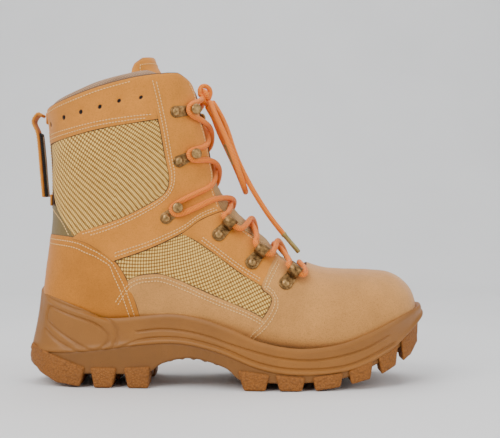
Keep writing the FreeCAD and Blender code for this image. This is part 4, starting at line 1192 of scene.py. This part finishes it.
def tongue_slab(name, u0, u1, front, thick, rows, columns, material, round_edge, ripple, rise=0.0):
    """A padded slab along the tongue, its edges drawn in to a rounded seam, raised in the open throat."""
    ring = 2 * columns
    verts, uvs = [], []
    for r in range(rows):
        u = u0 + (u1 - u0) * r / (rows - 1)
        near_end = min(r, rows - 1 - r) / (rows * 0.07)
        for k in range(ring):
            back = k >= columns
            share = -1 + 2 * (k if not back else ring - 1 - k) / (columns - 1)
            swell = math.sqrt(max(1 - abs(share) ** round_edge, 0.0)) * min(1.0, math.sqrt(min(near_end, 1.0)) + 0.15)
            ridge = ripple * math.sin(u * 11) * swell
            depth = thick / 2 + (thick / 2) * swell * (1 if back else -1) - (0 if back else ridge)
            if not back:
                depth -= rise * (1 - share * share) ** 0.5 * min(max((17.4 - u) / 1.6, 0.0), 1.0) * min(1.0, near_end)
            verts.append(tongue_place(np.array(u), np.array(share), front, depth))
            uvs.append((np.interp(u, TABLE_U, TRAVEL), share * 28))
    faces = ring_faces(rows, ring)
    faces.append(tuple(range(ring))[::-1])
    faces.append(tuple(range((rows - 1) * ring, rows * ring)))
    piece = mesh_piece(name, verts, faces, material, uvs)
    work = bmesh.new()
    work.from_mesh(piece.data)
    bmesh.ops.triangulate(work, faces=[f for f in work.faces if len(f.verts) > 4])
    bmesh.ops.recalc_face_normals(work, faces=work.faces)
    work.to_mesh(piece.data)
    work.free()
    return piece


tongue_cloth = woven_finish("tongue_cloth", (0.80, 0.55, 0.24), (0.34, 0.18, 0.07), 1.3, 0.18)
pad = tongue_slab("tongue_pad", TONGUE_BASE, TONGUE_END - 0.7, TONGUE_INSET + 2.0, TONGUE_PAD, 90, 26, tongue_cloth, 5, 0.25, 7.0)
puff(pad, 3.0)
mounted(pad, "lining", "tongue_pad", body="tongue")
sewn_base = tongue_slab("tongue_base", 6.6, 8.2, 6.2, 2.0, 14, 26, tongue_cloth, 5, 0.0)
mounted(sewn_base, "lining")
shield = tongue_slab("tongue_leather", 17.0, TONGUE_END, TONGUE_INSET, TONGUE_LEATHER + 0.5, 44, 26, nubuck, 14, 0.0)
mounted(shield, "nubuck", "tongue_leather", body="tongue")
runs = []
low, high = 17.15, 22.4
edge_u = np.concatenate([np.full(12, low), np.linspace(low, high, 50), np.full(16, high), np.linspace(high, low, 50), np.full(12, low)])
edge_s = np.concatenate([np.linspace(0, -0.9, 12), np.full(50, -0.9), np.linspace(-0.9, 0.9, 16), np.full(50, 0.9), np.linspace(0.9, 0, 12)])
places = tongue_place(edge_u, edge_s, TONGUE_INSET, 0.12)
runs.append((places, places - tongue_place(edge_u, edge_s, TONGUE_INSET, 3.0)))
mounted(stitches("tongue_stitching", runs, thread), "nubuck", body="tongue")

# ---- hooks and eyelets ----
# Three speed hooks a side stand on long plates, and three tunnel eyelets a side sit below them. Each is
# pressed brass, blackened and rubbed bright on its high spots, and fixed by one domed rivet and a washer.
HOOKS = [((-37.5, 207.5), (-26, 209.5)), ((-35, 170), (-24.5, 175.5)), ((-44, 127), (-35.5, 134))]
EYELETS = [((-4.5, 114.5), (3, 122)), ((20.5, 93.5), (27, 101)), ((45.5, 78), (51.5, 85))]


def brass_finish(name, bright, dark, wear):
    """Antique brass: dark in the hollows and brushed bright where it is rubbed."""
    made = Finish(name, 0.42, Metallic=0.9)
    cloud = made.grain(420, 5, 0.7)
    tone = made.ramp(cloud, [(0.35, dark), (0.5 + wear, bright)])
    made.colour(tone)
    made.rough(made.grain(900, 4), 0.30, 0.58)
    made.bump(made.grain(700, 4), 0.05, 0.6)
    return made.material


brass = brass_finish("antique_brass", (0.36, 0.20, 0.070), (0.085, 0.042, 0.014), 0.16)
worn_brass = brass_finish("worn_brass", (0.46, 0.27, 0.10), (0.14, 0.075, 0.026), 0.10)


def seat_frame(place, toward, side):
    """Foot of a fitting on the leather, the way out, the way along it, the way across, and its length."""
    (ua, ub), (va, vb) = locate([place, toward], side)
    here, out = surface(np.array([ua]), np.array([va]))
    there, _ = surface(np.array([ub]), np.array([vb]))
    here, out, there = here[0], out[0], there[0]
    along = there - here
    along -= out * (along @ out)
    reach = np.linalg.norm(along)
    along /= reach
    return here, out, along, np.cross(out, along), reach


def turned(profile, centre, axis, sides=28):
    """Vertices and faces of a closed shape turned about an axis: radius and height pairs from its foot."""
    axis = np.asarray(axis, float)
    help_way = np.array([0, 0, 1.0]) if abs(axis[2]) < 0.9 else np.array([1.0, 0, 0])
    a = np.cross(axis, help_way)
    a /= np.linalg.norm(a)
    b = np.cross(axis, a)
    verts = []
    for radius, height in profile:
        for k in range(sides):
            t = 2 * math.pi * k / sides
            verts.append(centre + axis * height + (a * math.cos(t) + b * math.sin(t)) * radius)
    faces = ring_faces(len(profile), sides)
    faces.append(tuple(range(sides))[::-1])
    faces.append(tuple(range((len(profile) - 1) * sides, len(profile) * sides)))
    return verts, faces


def plate(here, out, along, across, reach, wide, narrow, lift, thick):
    """A flat plate with round ends and softened edges."""
    outline = []
    for t in np.linspace(math.pi / 2, 3 * math.pi / 2, 15):
        outline.append((wide * math.cos(t), wide * math.sin(t)))
    for t in np.linspace(-math.pi / 2, math.pi / 2, 13):
        outline.append((reach + narrow * math.cos(t), narrow * math.sin(t)))
    middle = np.array([reach / 2, 0.0])
    rows = [(0.0, 0.0), (0.0, 0.65), (0.22, 0.9), (0.6, 1.0)]
    verts = []
    for inset, rise in rows:
        for x, y in outline:
            away = np.array([x, y]) - middle
            x2, y2 = np.array([x, y]) - away / (np.linalg.norm(away) + 1e-9) * inset
            verts.append(here + along * x2 + across * y2 + out * (lift + thick * rise))
    count = len(outline)
    faces = ring_faces(len(rows), count)
    faces += [tuple(range(count))[::-1], tuple(range((len(rows) - 1) * count, len(rows) * count))]
    return verts, faces


def join_shapes(name, shapes, materials):
    """One mesh object from several vertex and face lists, each with the number of its material."""
    verts, faces, index = [], [], []
    for (v, f), number in shapes:
        start = len(verts)
        verts += [tuple(p) for p in v]
        faces += [tuple(i + start for i in face) for face in f]
        index += [number] * len(f)
    piece = mesh_piece(name, verts, faces, materials)
    piece.data.polygons.foreach_set("material_index", index)
    close_ends(piece)
    return piece


def tunnel(here, out, along, across, reach):
    """The bent tube of an eyelet: a short sleeve across the plate, open at both ends."""
    middle = here + along * reach + out * 4.5
    verts, sides, rows = [], 30, [(-4.5, 4.3), (-4.3, 4.6), (4.3, 4.6), (4.5, 4.3), (4.5, 3.6), (4.3, 3.4), (-4.3, 3.4), (-4.5, 3.6)]
    for shift, radius in rows + rows[:1]:
        for k in range(sides):
            t = 2 * math.pi * k / sides
            verts.append(middle + across * shift + (along * math.cos(t) + out * math.sin(t)) * radius)
    return verts, ring_faces(len(rows) + 1, sides)


DOME = [(3.3, 0.0), (3.4, 0.25), (3.15, 0.9), (2.5, 1.5), (1.6, 1.85), (0.7, 2.0), (0.05, 2.03)]
for number, (spot, toward) in enumerate(HOOKS, 1):
    for side, label in SIDES:
        here, out, along, across, reach = seat_frame(spot, toward, side)
        foot = here + along * reach
        base = plate(here, out, along, across, reach, 4.6, 3.4, UPPER_LIFT - 0.2, 1.0)
        neck = turned([(2.4, 1.6), (1.75, 2.4), (1.6, 4.5), (1.7, 6.4), (2.6, 7.5)], foot, out)
        ball = turned([(2.6, 7.3), (3.8, 7.5), (4.1, 8.1), (4.05, 8.8), (3.6, 9.4), (2.4, 9.7), (0.1, 9.8)], foot, out)
        hook = join_shapes("speed_hook_%d_%s" % (number, label), [(base, 0), (neck, 0), (ball, 1)], [brass, worn_brass])
        mounted(hook, "brass", "speed_hook_%d_%s" % (number, label))
for number, (spot, toward) in enumerate(EYELETS, 1):
    for side, label in SIDES:
        here, out, along, across, reach = seat_frame(spot, toward, side)
        base = plate(here, out, along, across, reach - 1.5, 5.2, 4.0, LOWER_LIFT - 0.4, 1.0)
        sleeve = tunnel(here, out, along, across, reach)
        eyelet = join_shapes("tunnel_eyelet_%d_%s" % (number, label), [(base, 0), (sleeve, 0)], [brass, worn_brass])
        mounted(eyelet, "brass", "tunnel_eyelet_%d_%s" % (number, label))
for name, places, lift in (("hook_rivets", HOOKS, UPPER_LIFT + 0.7), ("eyelet_rivets", EYELETS, LOWER_LIFT + 0.5)):
    shapes = []
    for spot, toward in places:
        for side in (-1, 1):
            here, out, along, across, reach = seat_frame(spot, toward, side)
            dome = turned([(1.5, -7.0), (1.5, lift - 0.2)] + [(r, lift + h) for r, h in DOME], here, out)
            shapes.append((dome, 0))
    mounted(join_shapes(name, shapes, [worn_brass]), "brass", name)

# ---- pull loop ----
# A strap of nubuck folded over at the top and backed with black webbing hangs behind the shaft. Its ends
# are sewn to small tabs.
LOOP_LINE = [(-143.9, 207.5), (-147.5, 209), (-151, 203), (-147.6, 194), (-145.9, 180), (-144.4, 162), (-142.6, 144)]
STRAP_HALF = 7.0
black_web = woven_finish("black_webbing", (0.035, 0.034, 0.033), (0.006, 0.006, 0.006), 1.2, 0.2)
pale_strip = plain_finish("pale_strip", (0.60, 0.56, 0.48), 0.8)


def strap(name, line, low, high, half, materials, start=0.0):
    """A strap with rounded edges along a side-view line, between two distances out from it."""
    run = run_through(line, 0.8)
    run = run[int(len(run) * start):]
    ahead = np.gradient(run, axis=0)
    ahead /= np.linalg.norm(ahead, axis=1, keepdims=True)
    away = np.stack([ahead[:, 1], -ahead[:, 0]], axis=1)
    shape = []
    for k in range(15):
        y = -half + 2 * half * k / 14
        shape.append((y, high - (0.5 if k in (0, 14) else 0.0)))
    for k in range(15):
        y = half - 2 * half * k / 14
        shape.append((y, low + (0.5 if k in (0, 14) else 0.0)))
    verts, uvs = [], []
    for i, (p, w) in enumerate(zip(run, away)):
        sway = 0.25 * noise.noise(Vector((i * 0.05, half, low)))
        for y, distance in shape:
            q = p + w * (distance + sway)
            verts.append((q[0], y + 0.4 * math.sin(i * 0.06), q[1]))
            uvs.append((i * 0.8, y))
    count = len(shape)
    faces = ring_faces(len(run), count)
    faces += [tuple(range(count))[::-1], tuple(range((len(run) - 1) * count, len(run) * count))]
    piece = mesh_piece(name, verts, faces, materials, uvs)
    close_ends(piece)
    return piece, run, away


loop_leather, run, away = strap("pull_loop_leather", LOOP_LINE, -1.1, 1.1, STRAP_HALF, nubuck)
mounted(loop_leather, "nubuck", "pull_loop_leather", body="pull_loop")
web, run_web, away_web = strap("pull_loop_webbing", LOOP_LINE, -2.9, -1.3, STRAP_HALF - 1, black_web, 0.3)
mounted(web, "webbing", "pull_loop_webbing", body="pull_loop")
strip, run_strip, away_strip = strap("pull_loop_strip", LOOP_LINE, -3.3, -2.8, 1.6, pale_strip, 0.34)
mounted(strip, "webbing", body="pull_loop")
rows = []
for y in (-5.2, 5.2):
    out_way = np.stack([away[:, 0], np.zeros(len(run)), away[:, 1]], axis=1)
    middle = np.stack([run[:, 0], np.full(len(run), y), run[:, 1]], axis=1)
    rows.append((middle + out_way * 1.15, out_way))
mounted(stitches("pull_loop_stitching", rows, thread), "nubuck", body="pull_loop")


def tab(name_shapes, x, z, tall):
    """A small rounded leather tab behind the shaft."""
    verts = []
    rows = [(-0.9, 0.5), (-0.6, 0.1), (0.3, 0.0), (0.7, 0.25)]
    outline = [(7.0 * sx, tall / 2 * sz) for sx, sz in ((-1, -0.8), (-0.9, -1), (0.9, -1), (1, -0.8), (1, 0.8), (0.9, 1), (-0.9, 1), (-1, 0.8))]
    for depth, inset in rows:
        for y, h in outline:
            verts.append((x + depth, y * (1 - inset / 7), z + h * (1 - inset / 7)))
    faces = ring_faces(len(rows), 8) + [tuple(range(8))[::-1], tuple(range(24, 32))]
    name_shapes.append(((verts, faces), 0))


shapes = []
tab(shapes, -139.8, 205.5, 9)
tab(shapes, -136.6, 141.5, 9)
mounted(join_shapes("pull_loop_tabs", shapes, [nubuck]), "nubuck", "pull_loop_tabs")

# ---- laces ----
# One flat-braided orange lace runs through the eyelets and round the hooks, crosses over the tongue and is
# tied in a bow at the top. One loop and both ends of the bow hang free in front; olive tips close the ends.
LACE_R = 2.1
LACE_ORANGE = (1.0, 0.18, 0.007)
LACE_LIGHT = (1.0, 0.39, 0.028)


def braid_finish():
    """Braided cord: light and dark yarns that cross at a slant, from the cloth coordinates of the tube."""
    made = Finish("lace_braid", 0.62, Specular_IOR_Level=0.3, Sheen_Weight=0.12)
    cloth = made.node("UVMap", uv_map="Cloth").outputs[0]
    parts = made.node("SeparateXYZ", ("Vector", cloth))
    bands = []
    for slant in (1.0, -1.0):
        way = made.maths("MULTIPLY_ADD", parts.outputs[1], slant * 10 / 1.65, made.maths("MULTIPLY", parts.outputs[0], 10 / 2.2))
        bands.append(made.maths("SINE", made.maths("MULTIPLY", way, 2 * math.pi)))
    weave = made.maths("MULTIPLY_ADD", made.maths("MULTIPLY", bands[0], bands[1]), 0.5, 0.5)
    tone = made.ramp(weave, [(0.12, shade(LACE_ORANGE, 0.50)), (0.45, LACE_ORANGE), (0.8, LACE_LIGHT)])
    cloud = made.grain(60, 3)
    made.colour(made.mix(made.maths("MULTIPLY", cloud, 0.35), tone, shade(LACE_ORANGE, 0.75)))
    made.bump(weave, 0.30, 0.9)
    made.bump(made.grain(2400, 2), 0.05, 0.8)
    return made.material


lace_braid = braid_finish()
tip_metal = plain_finish("lace_tip", (0.34, 0.25, 0.07), 0.38, 500, 0.04, Metallic=0.35)


def smooth_path(points, step=0.8):
    """A quadratic curve pulled towards each corner in turn, in even steps."""
    p = np.asarray(points, float)
    mids = (p[:-1] + p[1:]) / 2
    parts = [p[:1]]
    for i in range(1, len(p) - 1):
        start = p[0] if i == 1 else mids[i - 1]
        end = p[-1] if i == len(p) - 2 else mids[i]
        t = np.linspace(0, 1, 16)[1:, None]
        parts.append((1 - t) ** 2 * start + 2 * t * (1 - t) * p[i] + t * t * end)
    curve = np.concatenate(parts)
    length = np.concatenate([[0], np.cumsum(np.linalg.norm(np.diff(curve, axis=0), axis=1))])
    even = np.linspace(0, length[-1], max(int(length[-1] / step), 4))
    return np.stack([np.interp(even, length, curve[:, k]) for k in range(3)], axis=1)


def tube(name, path, radius, material, sides=18, squeeze=0.0, braid=0.09):
    """A round cord along a path with the low ridges of its braid and rounded ends."""
    path = np.asarray(path, float)
    ahead = np.gradient(path, axis=0)
    ahead /= np.linalg.norm(ahead, axis=1, keepdims=True)
    side = np.cross(ahead[0], [0, 0, 1.0])
    if np.linalg.norm(side) < 0.1:
        side = np.cross(ahead[0], [0, 1.0, 0])
    travel = np.concatenate([[0], np.cumsum(np.linalg.norm(np.diff(path, axis=0), axis=1))])
    verts, uvs = [], []
    for i, (p, d) in enumerate(zip(path, ahead)):
        side = side - d * (side @ d)
        side /= np.linalg.norm(side)
        other = np.cross(d, side)
        end = min(travel[i], travel[-1] - travel[i])
        close = 1.0 if end > radius else math.sqrt(max(1 - (1 - end / radius) ** 2, 0.02))
        for k in range(sides):
            a = 2 * math.pi * k / sides
            ridge = math.sin(travel[i] * 2 * math.pi / 2.2 + a * 8) * math.sin(travel[i] * 2 * math.pi / 2.2 - a * 8)
            r = (radius + braid * ridge) * close
            verts.append(p + side * (math.cos(a) * r) + other * (math.sin(a) * r * (1 - squeeze)))
            uvs.append((travel[i], a * radius))
    faces = ring_faces(len(path), sides)
    faces += [tuple(range(sides))[::-1], tuple(range((len(path) - 1) * sides, len(path) * sides))]
    piece = mesh_piece(name, verts, faces, material, uvs)
    close_ends(piece)
    return piece


def front_place(z, lift):
    """A place in front of the throat at height z, lift out from the line of the last."""
    us = np.linspace(6, 22, 400)
    rows = spread(LAST, us)
    u = np.interp(z, rows[:, 3], us)
    row = spread(LAST, np.array([u]))[0]
    step = (spread(LAST, np.array([u + 0.5])) - spread(LAST, np.array([u - 0.5])))[0]
    along = np.array([step[2], step[3]]) / np.hypot(step[2], step[3])
    out = np.array([along[1], -along[0]])
    return np.array([row[2] + out[0] * lift, 0.0, row[3] + out[1] * lift])


EDGE_LIFT = 4.3
CROSS_LOW, CROSS_HIGH = 0.6, 5.2
CROSSINGS = [108.5, 126.5, 140.0, 165.0, 196.0]
EYELET_EDGES = [((60.5, 84.5), (49.0, 91.0)), ((36.0, 101.0), (23.5, 110.5)), ((13.5, 118.0), (1.0, 128.5))]
HOOK_EDGES = [((-8.5, 141.0), (-10.8, 150.5)), ((-14.0, 172.0), (-16.0, 182.0)), ((-20.4, 201.5), (-22.6, 217.0))]
FACING_PLACES = [(-23.0, 133.5), (-25.0, 144.0)]
KNOT = np.array([-16.5, 0, 222.5])


def beside(place, side, lift=EDGE_LIFT):
    (u,), (v,) = locate([place], side)
    return surface(np.array([u]), np.array([v]), np.array([lift]))[0][0]


def round_hook(place, toward, side):
    here, out, along, across, reach = seat_frame(place, toward, side)
    foot = here + along * reach + out * 4.3
    across = across * (1 if across[2] > 0 else -1)
    return [foot - along * 2.8 - across * 4.4, foot - along * 5.2, foot - along * 2.8 + across * 4.4]


def through_eyelet(place, toward, side):
    here, out, along, across, reach = seat_frame(place, toward, side)
    middle = here + along * reach + out * 4.5
    across = across * (1 if across[2] > 0 else -1)
    return [middle - across * 8.0, middle + across * 8.0]


def half_lace(first_side):
    """The lace from the middle of the lowest bar up to the knot."""
    side = first_side
    points = [front_place(95.0, -1.0)]
    stops = [(through_eyelet, stop, edge) for stop, edge in zip(EYELETS[::-1], EYELET_EDGES)]
    stops += [(round_hook, stop, edge) for stop, edge in zip(HOOKS[::-1], HOOK_EDGES)]
    for k, (ends, (place, toward), (low_edge, high_edge)) in enumerate(stops):
        points.append(beside(low_edge, side))
        points += [beside(FACING_PLACES[0], side)] if k == 3 else []
        points += ends(place, toward, side)
        points += [beside(FACING_PLACES[1], side)] if k == 3 else []
        points.append(beside(high_edge, side))
        if k < len(CROSSINGS):
            points.append(front_place(CROSSINGS[k], CROSS_HIGH if side > 0 else CROSS_LOW))
        side = -side
    points.append(KNOT + np.array([-2.5, -side * 5.0, -2.0]))
    return points


whole = half_lace(-1)[:0:-1] + half_lace(1)
lacing = tube("lace_lacing", smooth_path(whole), LACE_R, lace_braid)
mounted(lacing, "lace", "lace_lacing")

# The knot: two turns of the lace drawn round each other, with the small top loop of the bow standing up.
turns = []
for t in np.linspace(0, 2 * math.pi, 130):
    r = 3.5 + 1.5 * math.cos(3 * t)
    turns.append(KNOT + np.array([1.9 * math.sin(3 * t), r * math.cos(2 * t), r * math.sin(2 * t)]))
knot = tube("lace_knot", turns, LACE_R * 0.98, lace_braid)
mounted(knot, "lace", "lace_knot")
crown = [KNOT + np.array(p) for p in ((-3, -3, 0), (-4.5, -3, 5), (-2, -1, 9.5), (3, 1, 8.5), (5, 3, 3), (2, 2, -2))]
top_loop = tube("lace_top_loop", smooth_path(crown), LACE_R * 0.9, lace_braid)
mounted(top_loop, "lace")

LONG_END = [
    (-11, 0, 220), (-5, -2, 211), (1.5, -5, 197), (7, -10, 178), (16, -11, 158.5), (27, -11, 139.5),
    (38, -10, 123.5), (46.5, -9, 113.5),
]
BOW_LOOP = [
    (-12.5, -5, 219.5), (-8.5, -12, 209), (-0.5, -16, 192), (7, -17, 173.5), (12.5, -15, 158), (15.5, -8, 149.5),
    (16, 3, 147), (13.5, 11, 153.5), (8.5, 15, 166), (1, 15, 182), (-7.5, 11, 200), (-13, 5, 216.5),
]
SHORT_END = [(-15.5, 0.3, 217), (-9.5, 2, 206.5), (-3.5, 3, 195.5), (1, 3, 184)]


def hand_laid(points):
    """Places read along a curve drawn through given control points."""
    drawn = bpy.data.curves.new("lay", "CURVE")
    drawn.dimensions = "3D"
    drawn.resolution_u = 24
    spline = drawn.splines.new("NURBS")
    spline.points.add(len(points) - 1)
    for point, place in zip(spline.points, points):
        point.co = (*(Vector(place) * MM), 1)
    spline.order_u = 3
    spline.use_endpoint_u = True
    holder = bpy.data.objects.new("lay", drawn)
    bpy.context.scene.collection.objects.link(holder)
    read = bpy.data.meshes.new_from_object(holder)
    places = np.array([v.co[:] for v in read.vertices]) / MM
    bpy.data.objects.remove(holder)
    bpy.data.meshes.remove(read)
    length = np.concatenate([[0], np.cumsum(np.linalg.norm(np.diff(places, axis=0), axis=1))])
    even = np.linspace(0, length[-1], int(length[-1] / 0.8))
    return np.stack([np.interp(even, length, places[:, k]) for k in range(3)], axis=1), float(length[-1])


def lace_tip(name, path, length):
    """The crimped tube on the end of a lace, with two pinches."""
    end, way = path[-1], path[-1] - path[-4]
    way /= np.linalg.norm(way)
    profile = [(2.0, -2.5), (2.2, -2.2), (2.2, -0.6), (1.8, 0.2), (1.8, length * 0.3), (1.6, length * 0.34), (1.8, length * 0.38),
               (1.8, length - 0.8), (1.5, length - 0.1), (0.2, length)]
    verts, faces = turned(profile, end, way, 20)
    return join_shapes(name, [((verts, faces), 0)], [tip_metal])


long_path, long_length = hand_laid(LONG_END)
bow_path, bow_length = hand_laid(BOW_LOOP)
short_path, short_length = hand_laid(SHORT_END)
long_end = tube("lace_long_end", long_path, LACE_R, lace_braid)
bow_loop = tube("lace_bow_loop", bow_path, LACE_R, lace_braid)
short_end = tube("lace_short_end", short_path, LACE_R, lace_braid)
long_tip = lace_tip("aglet_long", long_path, 17.0)
short_tip = lace_tip("aglet_short", short_path, 15.0)
mounted(long_end, "lace", "lace_long_end")
mounted(bow_loop, "lace", "lace_bow_loop")
mounted(short_end, "lace", "lace_short_end")
mounted(long_tip, "aglet", "aglet_long")
mounted(short_tip, "aglet", "aglet_short")


# ---- parts inside the boot ----
# The steel toe cap, its rubber edge strip, the heel stiffener, the foam, the boards and the shank are
# closed in by the upper and the sole. They keep their own shape and take a finish each.
steel = Finish("steel", 0.34, Metallic=1.0)
steel.colour(steel.ramp(steel.grain(300, 4), [(0.3, (0.36, 0.37, 0.38)), (0.7, (0.52, 0.53, 0.54))]))
steel.bump(steel.grain(900, 3), 0.03, 0.5)
FINISHES = {
    "steel_toe_cap": steel.material, "shank": steel.material,
    "toe_cap_edge_strip": rubber_finish("black_rubber", (0.03, 0.03, 0.03), False),
    "heel_stiffener": plain_finish("stiffener_board", (0.34, 0.27, 0.18), 0.85),
    "insole_board": plain_finish("insole_fibre", (0.42, 0.34, 0.24), 0.9, 600, 0.12),
    # The foam is coloured a dark brownish tan as painted shade, so its edges showing in the throat read as shadow.
    "foam_interlining": plain_finish("foam", (0.22, 0.135, 0.070), 0.95, 700, 0.3),
    "rivet_washers": brass,
}
for node, finish in FINISHES.items():
    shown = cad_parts[node]
    shown.data.materials.clear()
    shown.data.materials.append(finish)

# The footbed is moulded foam under brushed mesh; it drops in on the insole board and lifts out.
bed_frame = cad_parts["footbed"]
bed = bpy.data.objects.new("footbed_cover", bed_frame.data.copy())
bpy.context.scene.collection.objects.link(bed)
even_out = bed.modifiers.new("even", "REMESH")
even_out.mode = "VOXEL"
even_out.voxel_size = 2.4 * MM
shown = bed.evaluated_get(bpy.context.evaluated_depsgraph_get())
smooth = bpy.data.meshes.new_from_object(shown)
bed.modifiers.clear()
bed.data = smooth
bed.data.materials.clear()
bed.data.materials.append(lining_cloth)
for vert in bed.data.vertices:
    vert.co -= vert.normal * (0.35 + 0.25 * noise.noise(vert.co * 60)) * MM
layer = bed.data.uv_layers.new(name="Cloth")
for loop in bed.data.loops:
    layer.data[loop.index].uv = bed.data.vertices[loop.vertex_index].co.xy * 100
bed.data.polygons.foreach_set("use_smooth", [True] * len(bed.data.polygons))
mounted(bed, "lining", "footbed", body="footbed")

# ---- floor, lights and camera ----
# The boot stands on a pale floor that curves up behind it, under a large soft light and two side lights.


def studio_floor():
    verts, faces = [], []
    line = [(-4000, 0), (900, 0)] + [(900 + 700 * math.sin(a), 700 - 700 * math.cos(a)) for a in np.linspace(0, 1.57, 16)]
    line.append((1600, 3500))
    for x in (-5000, 5000):
        verts += [(x, y, z - 0.3) for y, z in line]
    n = len(line)
    faces = [(i, i + n, i + n + 1, i + 1) for i in range(n - 1)]
    pale = Finish("floor_paint", 0.75)
    pale.colour(pale.ramp(pale.grain(3, 3), [(0.3, (0.78, 0.78, 0.78)), (0.7, (0.83, 0.83, 0.83))]))
    return mesh_piece("floor", verts, faces, pale.material)


def soft_light(name, place, aim, size, power):
    data = bpy.data.lights.new(name, "AREA")
    data.shape = "RECTANGLE"
    data.size, data.size_y = size
    data.energy = power
    lamp = bpy.data.objects.new(name, data)
    lamp.location = place
    lamp.rotation_euler = (Vector(aim) - Vector(place)).to_track_quat("-Z", "Y").to_euler()
    bpy.context.scene.collection.objects.link(lamp)


studio_floor()
soft_light("key", (-0.9, -1.1, 1.3), (0, 0, 0.10), (1.2, 1.2), 25)
soft_light("fill", (1.3, -0.9, 0.8), (0, 0, 0.10), (1.2, 1.0), 11)
soft_light("top", (0.0, 0.3, 1.6), (0, 0, 0.05), (1.6, 1.6), 15)
world = bpy.data.worlds.new("studio")
world.use_nodes = True
world.node_tree.nodes["Background"].inputs[0].default_value = (0.95, 0.97, 1.0, 1)
world.node_tree.nodes["Background"].inputs[1].default_value = 0.60
bpy.context.scene.world = world

lens = bpy.data.cameras.new("camera")
lens.lens = 72.9
lens.sensor_width = 36.0
lens.clip_start = 0.05
camera = bpy.data.objects.new("camera", lens)
camera.location = (0.01915, -0.8, 0.1266)
camera.rotation_euler = (math.pi / 2, 0, 0)
bpy.context.scene.collection.objects.link(camera)
bpy.context.scene.camera = camera
